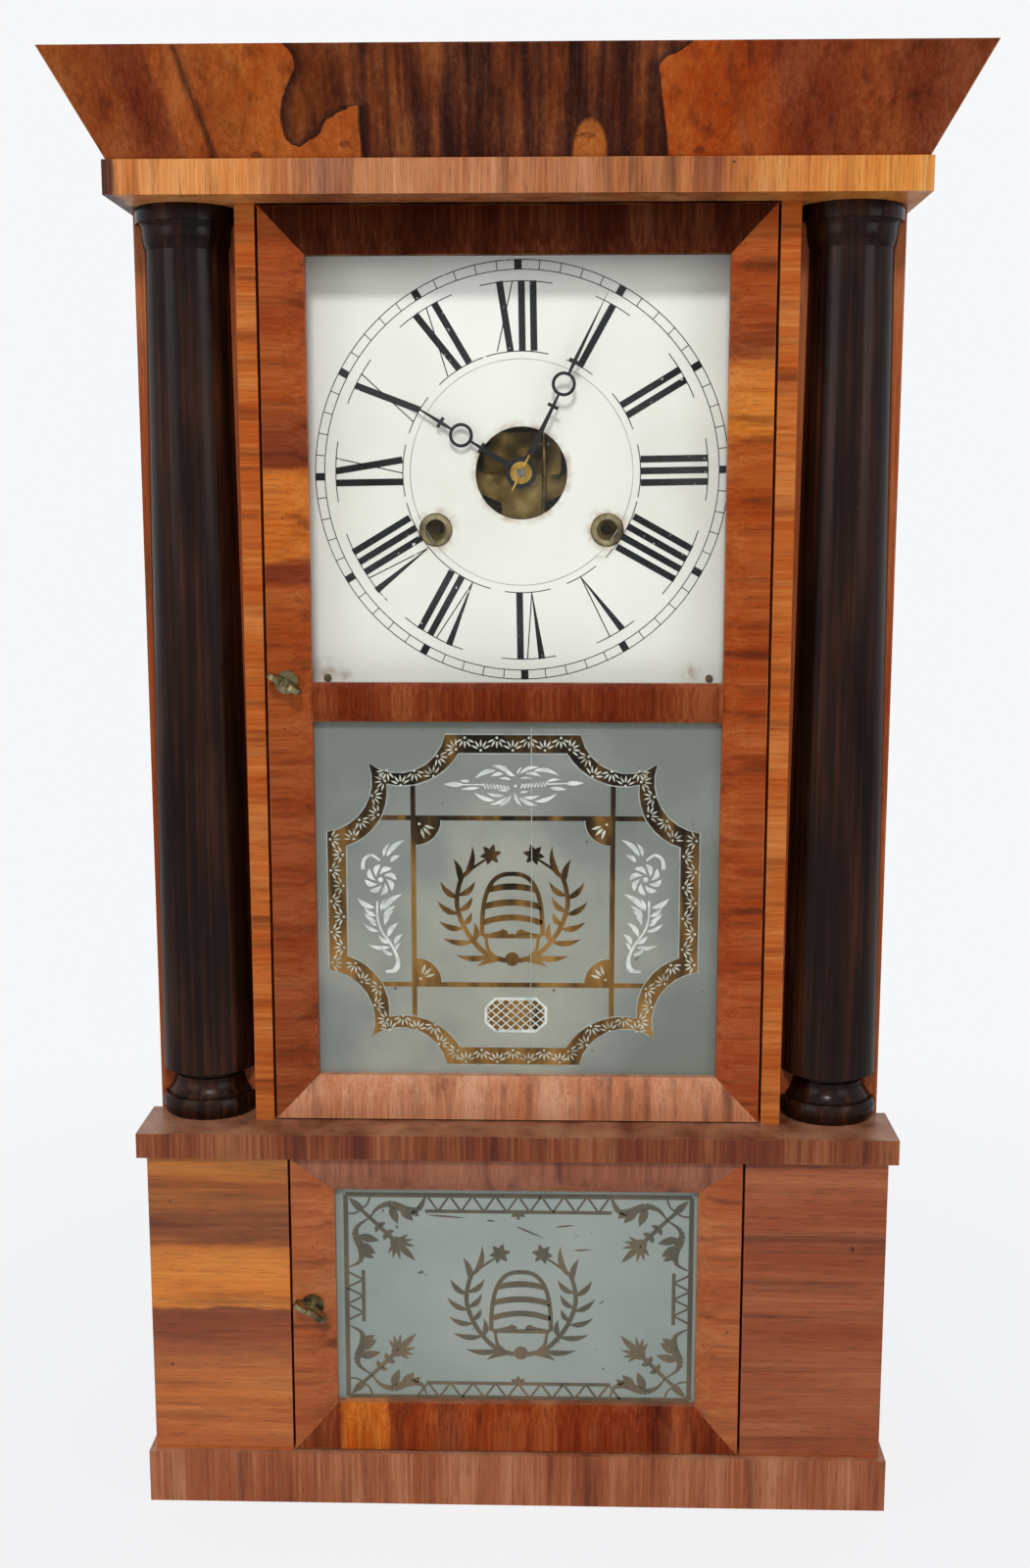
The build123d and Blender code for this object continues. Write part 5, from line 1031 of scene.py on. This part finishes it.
dress(["dial_fittings"], metal("winding_grommet_brass", [
    (0.32, "#4a4230"), (0.48, "#7d7352"), (0.6, "#9a8f6a"), (0.72, "#bcb18c")], 20.0, 0.3, 160.0))
dress(["hand_collet"], metal("hand_collet_brass", [
    (0.32, "#6d5420"), (0.48, "#a8863c"), (0.6, "#c2a052"), (0.72, "#d8ba6e")], 26.0, 0.3, 160.0))
dress(["hour_hand", "minute_hand"], metal("black_hand_paint", [
    (0.32, "#08090a"), (0.5, "#101112"), (0.7, "#1c1d1f")], 32.0, 0.46, 240.0, 0.0))
dress(["minute_arbor", "verge", "hammer"], metal("old_steel", [
    (0.32, "#3c3a36"), (0.48, "#6d6a64"), (0.6, "#8b8881"), (0.72, "#a6a39c")], 38.0, 0.34, 140.0))
dress(["gong", "time_weight", "strike_weight", "pulley_left", "pulley_right"], metal("cast_iron_rusty", [
    (0.32, "#1d1a18"), (0.48, "#2f2a26"), (0.6, "#40362e"), (0.72, "#59432f")], 44.0, 0.66, 70.0, 0.6, 0.5))

# Stage
# A plain white floor that keeps the clock's shadow and fades into a white surround, and one soft lamp high in
# front with a weaker one on each side. The camera stands where the photograph was taken from.
floor_mesh = bpy.data.meshes.new("floor")
floor_reach = 4
floor_corners = [(x * floor_reach, y * floor_reach, 0) for x, y in ((-1, -1), (1, -1), (1, 1), (-1, 1))]
floor_mesh.from_pydata(floor_corners, [], [(0, 1, 2, 3)])
floor = bpy.data.objects.new("floor", floor_mesh)
bpy.context.scene.collection.objects.link(floor)
floor_finish, tree, shader, place = new_finish("white_floor_paper")
paper = put(tree, "ValToRGB", {
    0: mottle(tree, place, 3.0, 2.0, 1.0), "stops": [(0.3, "#eeeeef"), (0.7, "#f2f2f3")],
}).outputs[0]
tree.links.new(paper, shader.inputs["Base Color"])
shader.inputs["Roughness"].default_value = 0.8
shader.inputs["Specular IOR Level"].default_value = 0.1
away = put(tree, "VectorMath", {"operation": "LENGTH", 0: place}).outputs["Value"]
seen = put(tree, "Math", {
    "operation": "MULTIPLY",
    0: put(tree, "LightPath").outputs["Is Camera Ray"],
    1: put(tree, "MapRange", {0: away, 1: 0.2, 2: 0.7, 3: 0.86, 4: 1.0}).outputs[0],
}).outputs[0]
glow = put(tree, "Emission", {"Color": linear("#f6f7f9"), "Strength": 1.0}).outputs["Emission"]
blend = put(tree, "MixShader", {0: seen, 1: shader.outputs["BSDF"], 2: glow}).outputs["Shader"]
tree.links.new(blend, tree.nodes["Material Output"].inputs["Surface"])
floor_mesh.materials.append(floor_finish)

world = bpy.data.worlds.new("white_surround")
bpy.context.scene.world = world
world.use_nodes = True
tree = world.node_tree
tree.nodes.clear()
rays = put(tree, "LightPath").outputs
seen = put(tree, "Math", {
    "operation": "MAXIMUM",
    0: put(tree, "Math", {
        "operation": "MAXIMUM", 0: rays["Is Camera Ray"], 1: rays["Is Glossy Ray"],
    }).outputs[0],
    1: rays["Is Transmission Ray"],
}).outputs[0]
surround = put(tree, "Background", {
    "Color": linear("#f6f7f9"),
    "Strength": put(tree, "MapRange", {0: seen, 1: 0.0, 2: 1.0, 3: 0.42, 4: 1.0}).outputs[0],
})
put(tree, "OutputWorld", {"Surface": surround.outputs["Background"]})


def lamp(name, place, aim, size, power):
    """A square soft lamp that shines at a point."""
    light = bpy.data.lights.new(name, "AREA")
    light.size = size
    light.energy = power
    thing = bpy.data.objects.new(name, light)
    thing.location = place
    thing.rotation_euler = (Vector(aim) - Vector(place)).to_track_quat("-Z", "Y").to_euler()
    bpy.context.scene.collection.objects.link(thing)


lamp("key", (-0.05, -1.75, 1.9), (0, 0, 0.42), 0.35, 26)
lamp("left_fill", (-1.5, -1.5, 0.9), (0, 0, 0.3), 0.9, 6)
lamp("right_fill", (1.5, -1.5, 0.9), (0, 0, 0.3), 0.9, 6)

eye = bpy.data.cameras.new("camera")
eye.lens = 39.53
eye.sensor_width = 36.0
camera = bpy.data.objects.new("camera", eye)
camera.location = (0.0192, -0.76935, 0.4535)
camera.rotation_euler = (radians(90 - 9.037), 0, radians(1.52))
bpy.context.scene.collection.objects.link(camera)
bpy.context.scene.camera = camera
bpy.context.scene.view_settings.view_transform = "Standard"
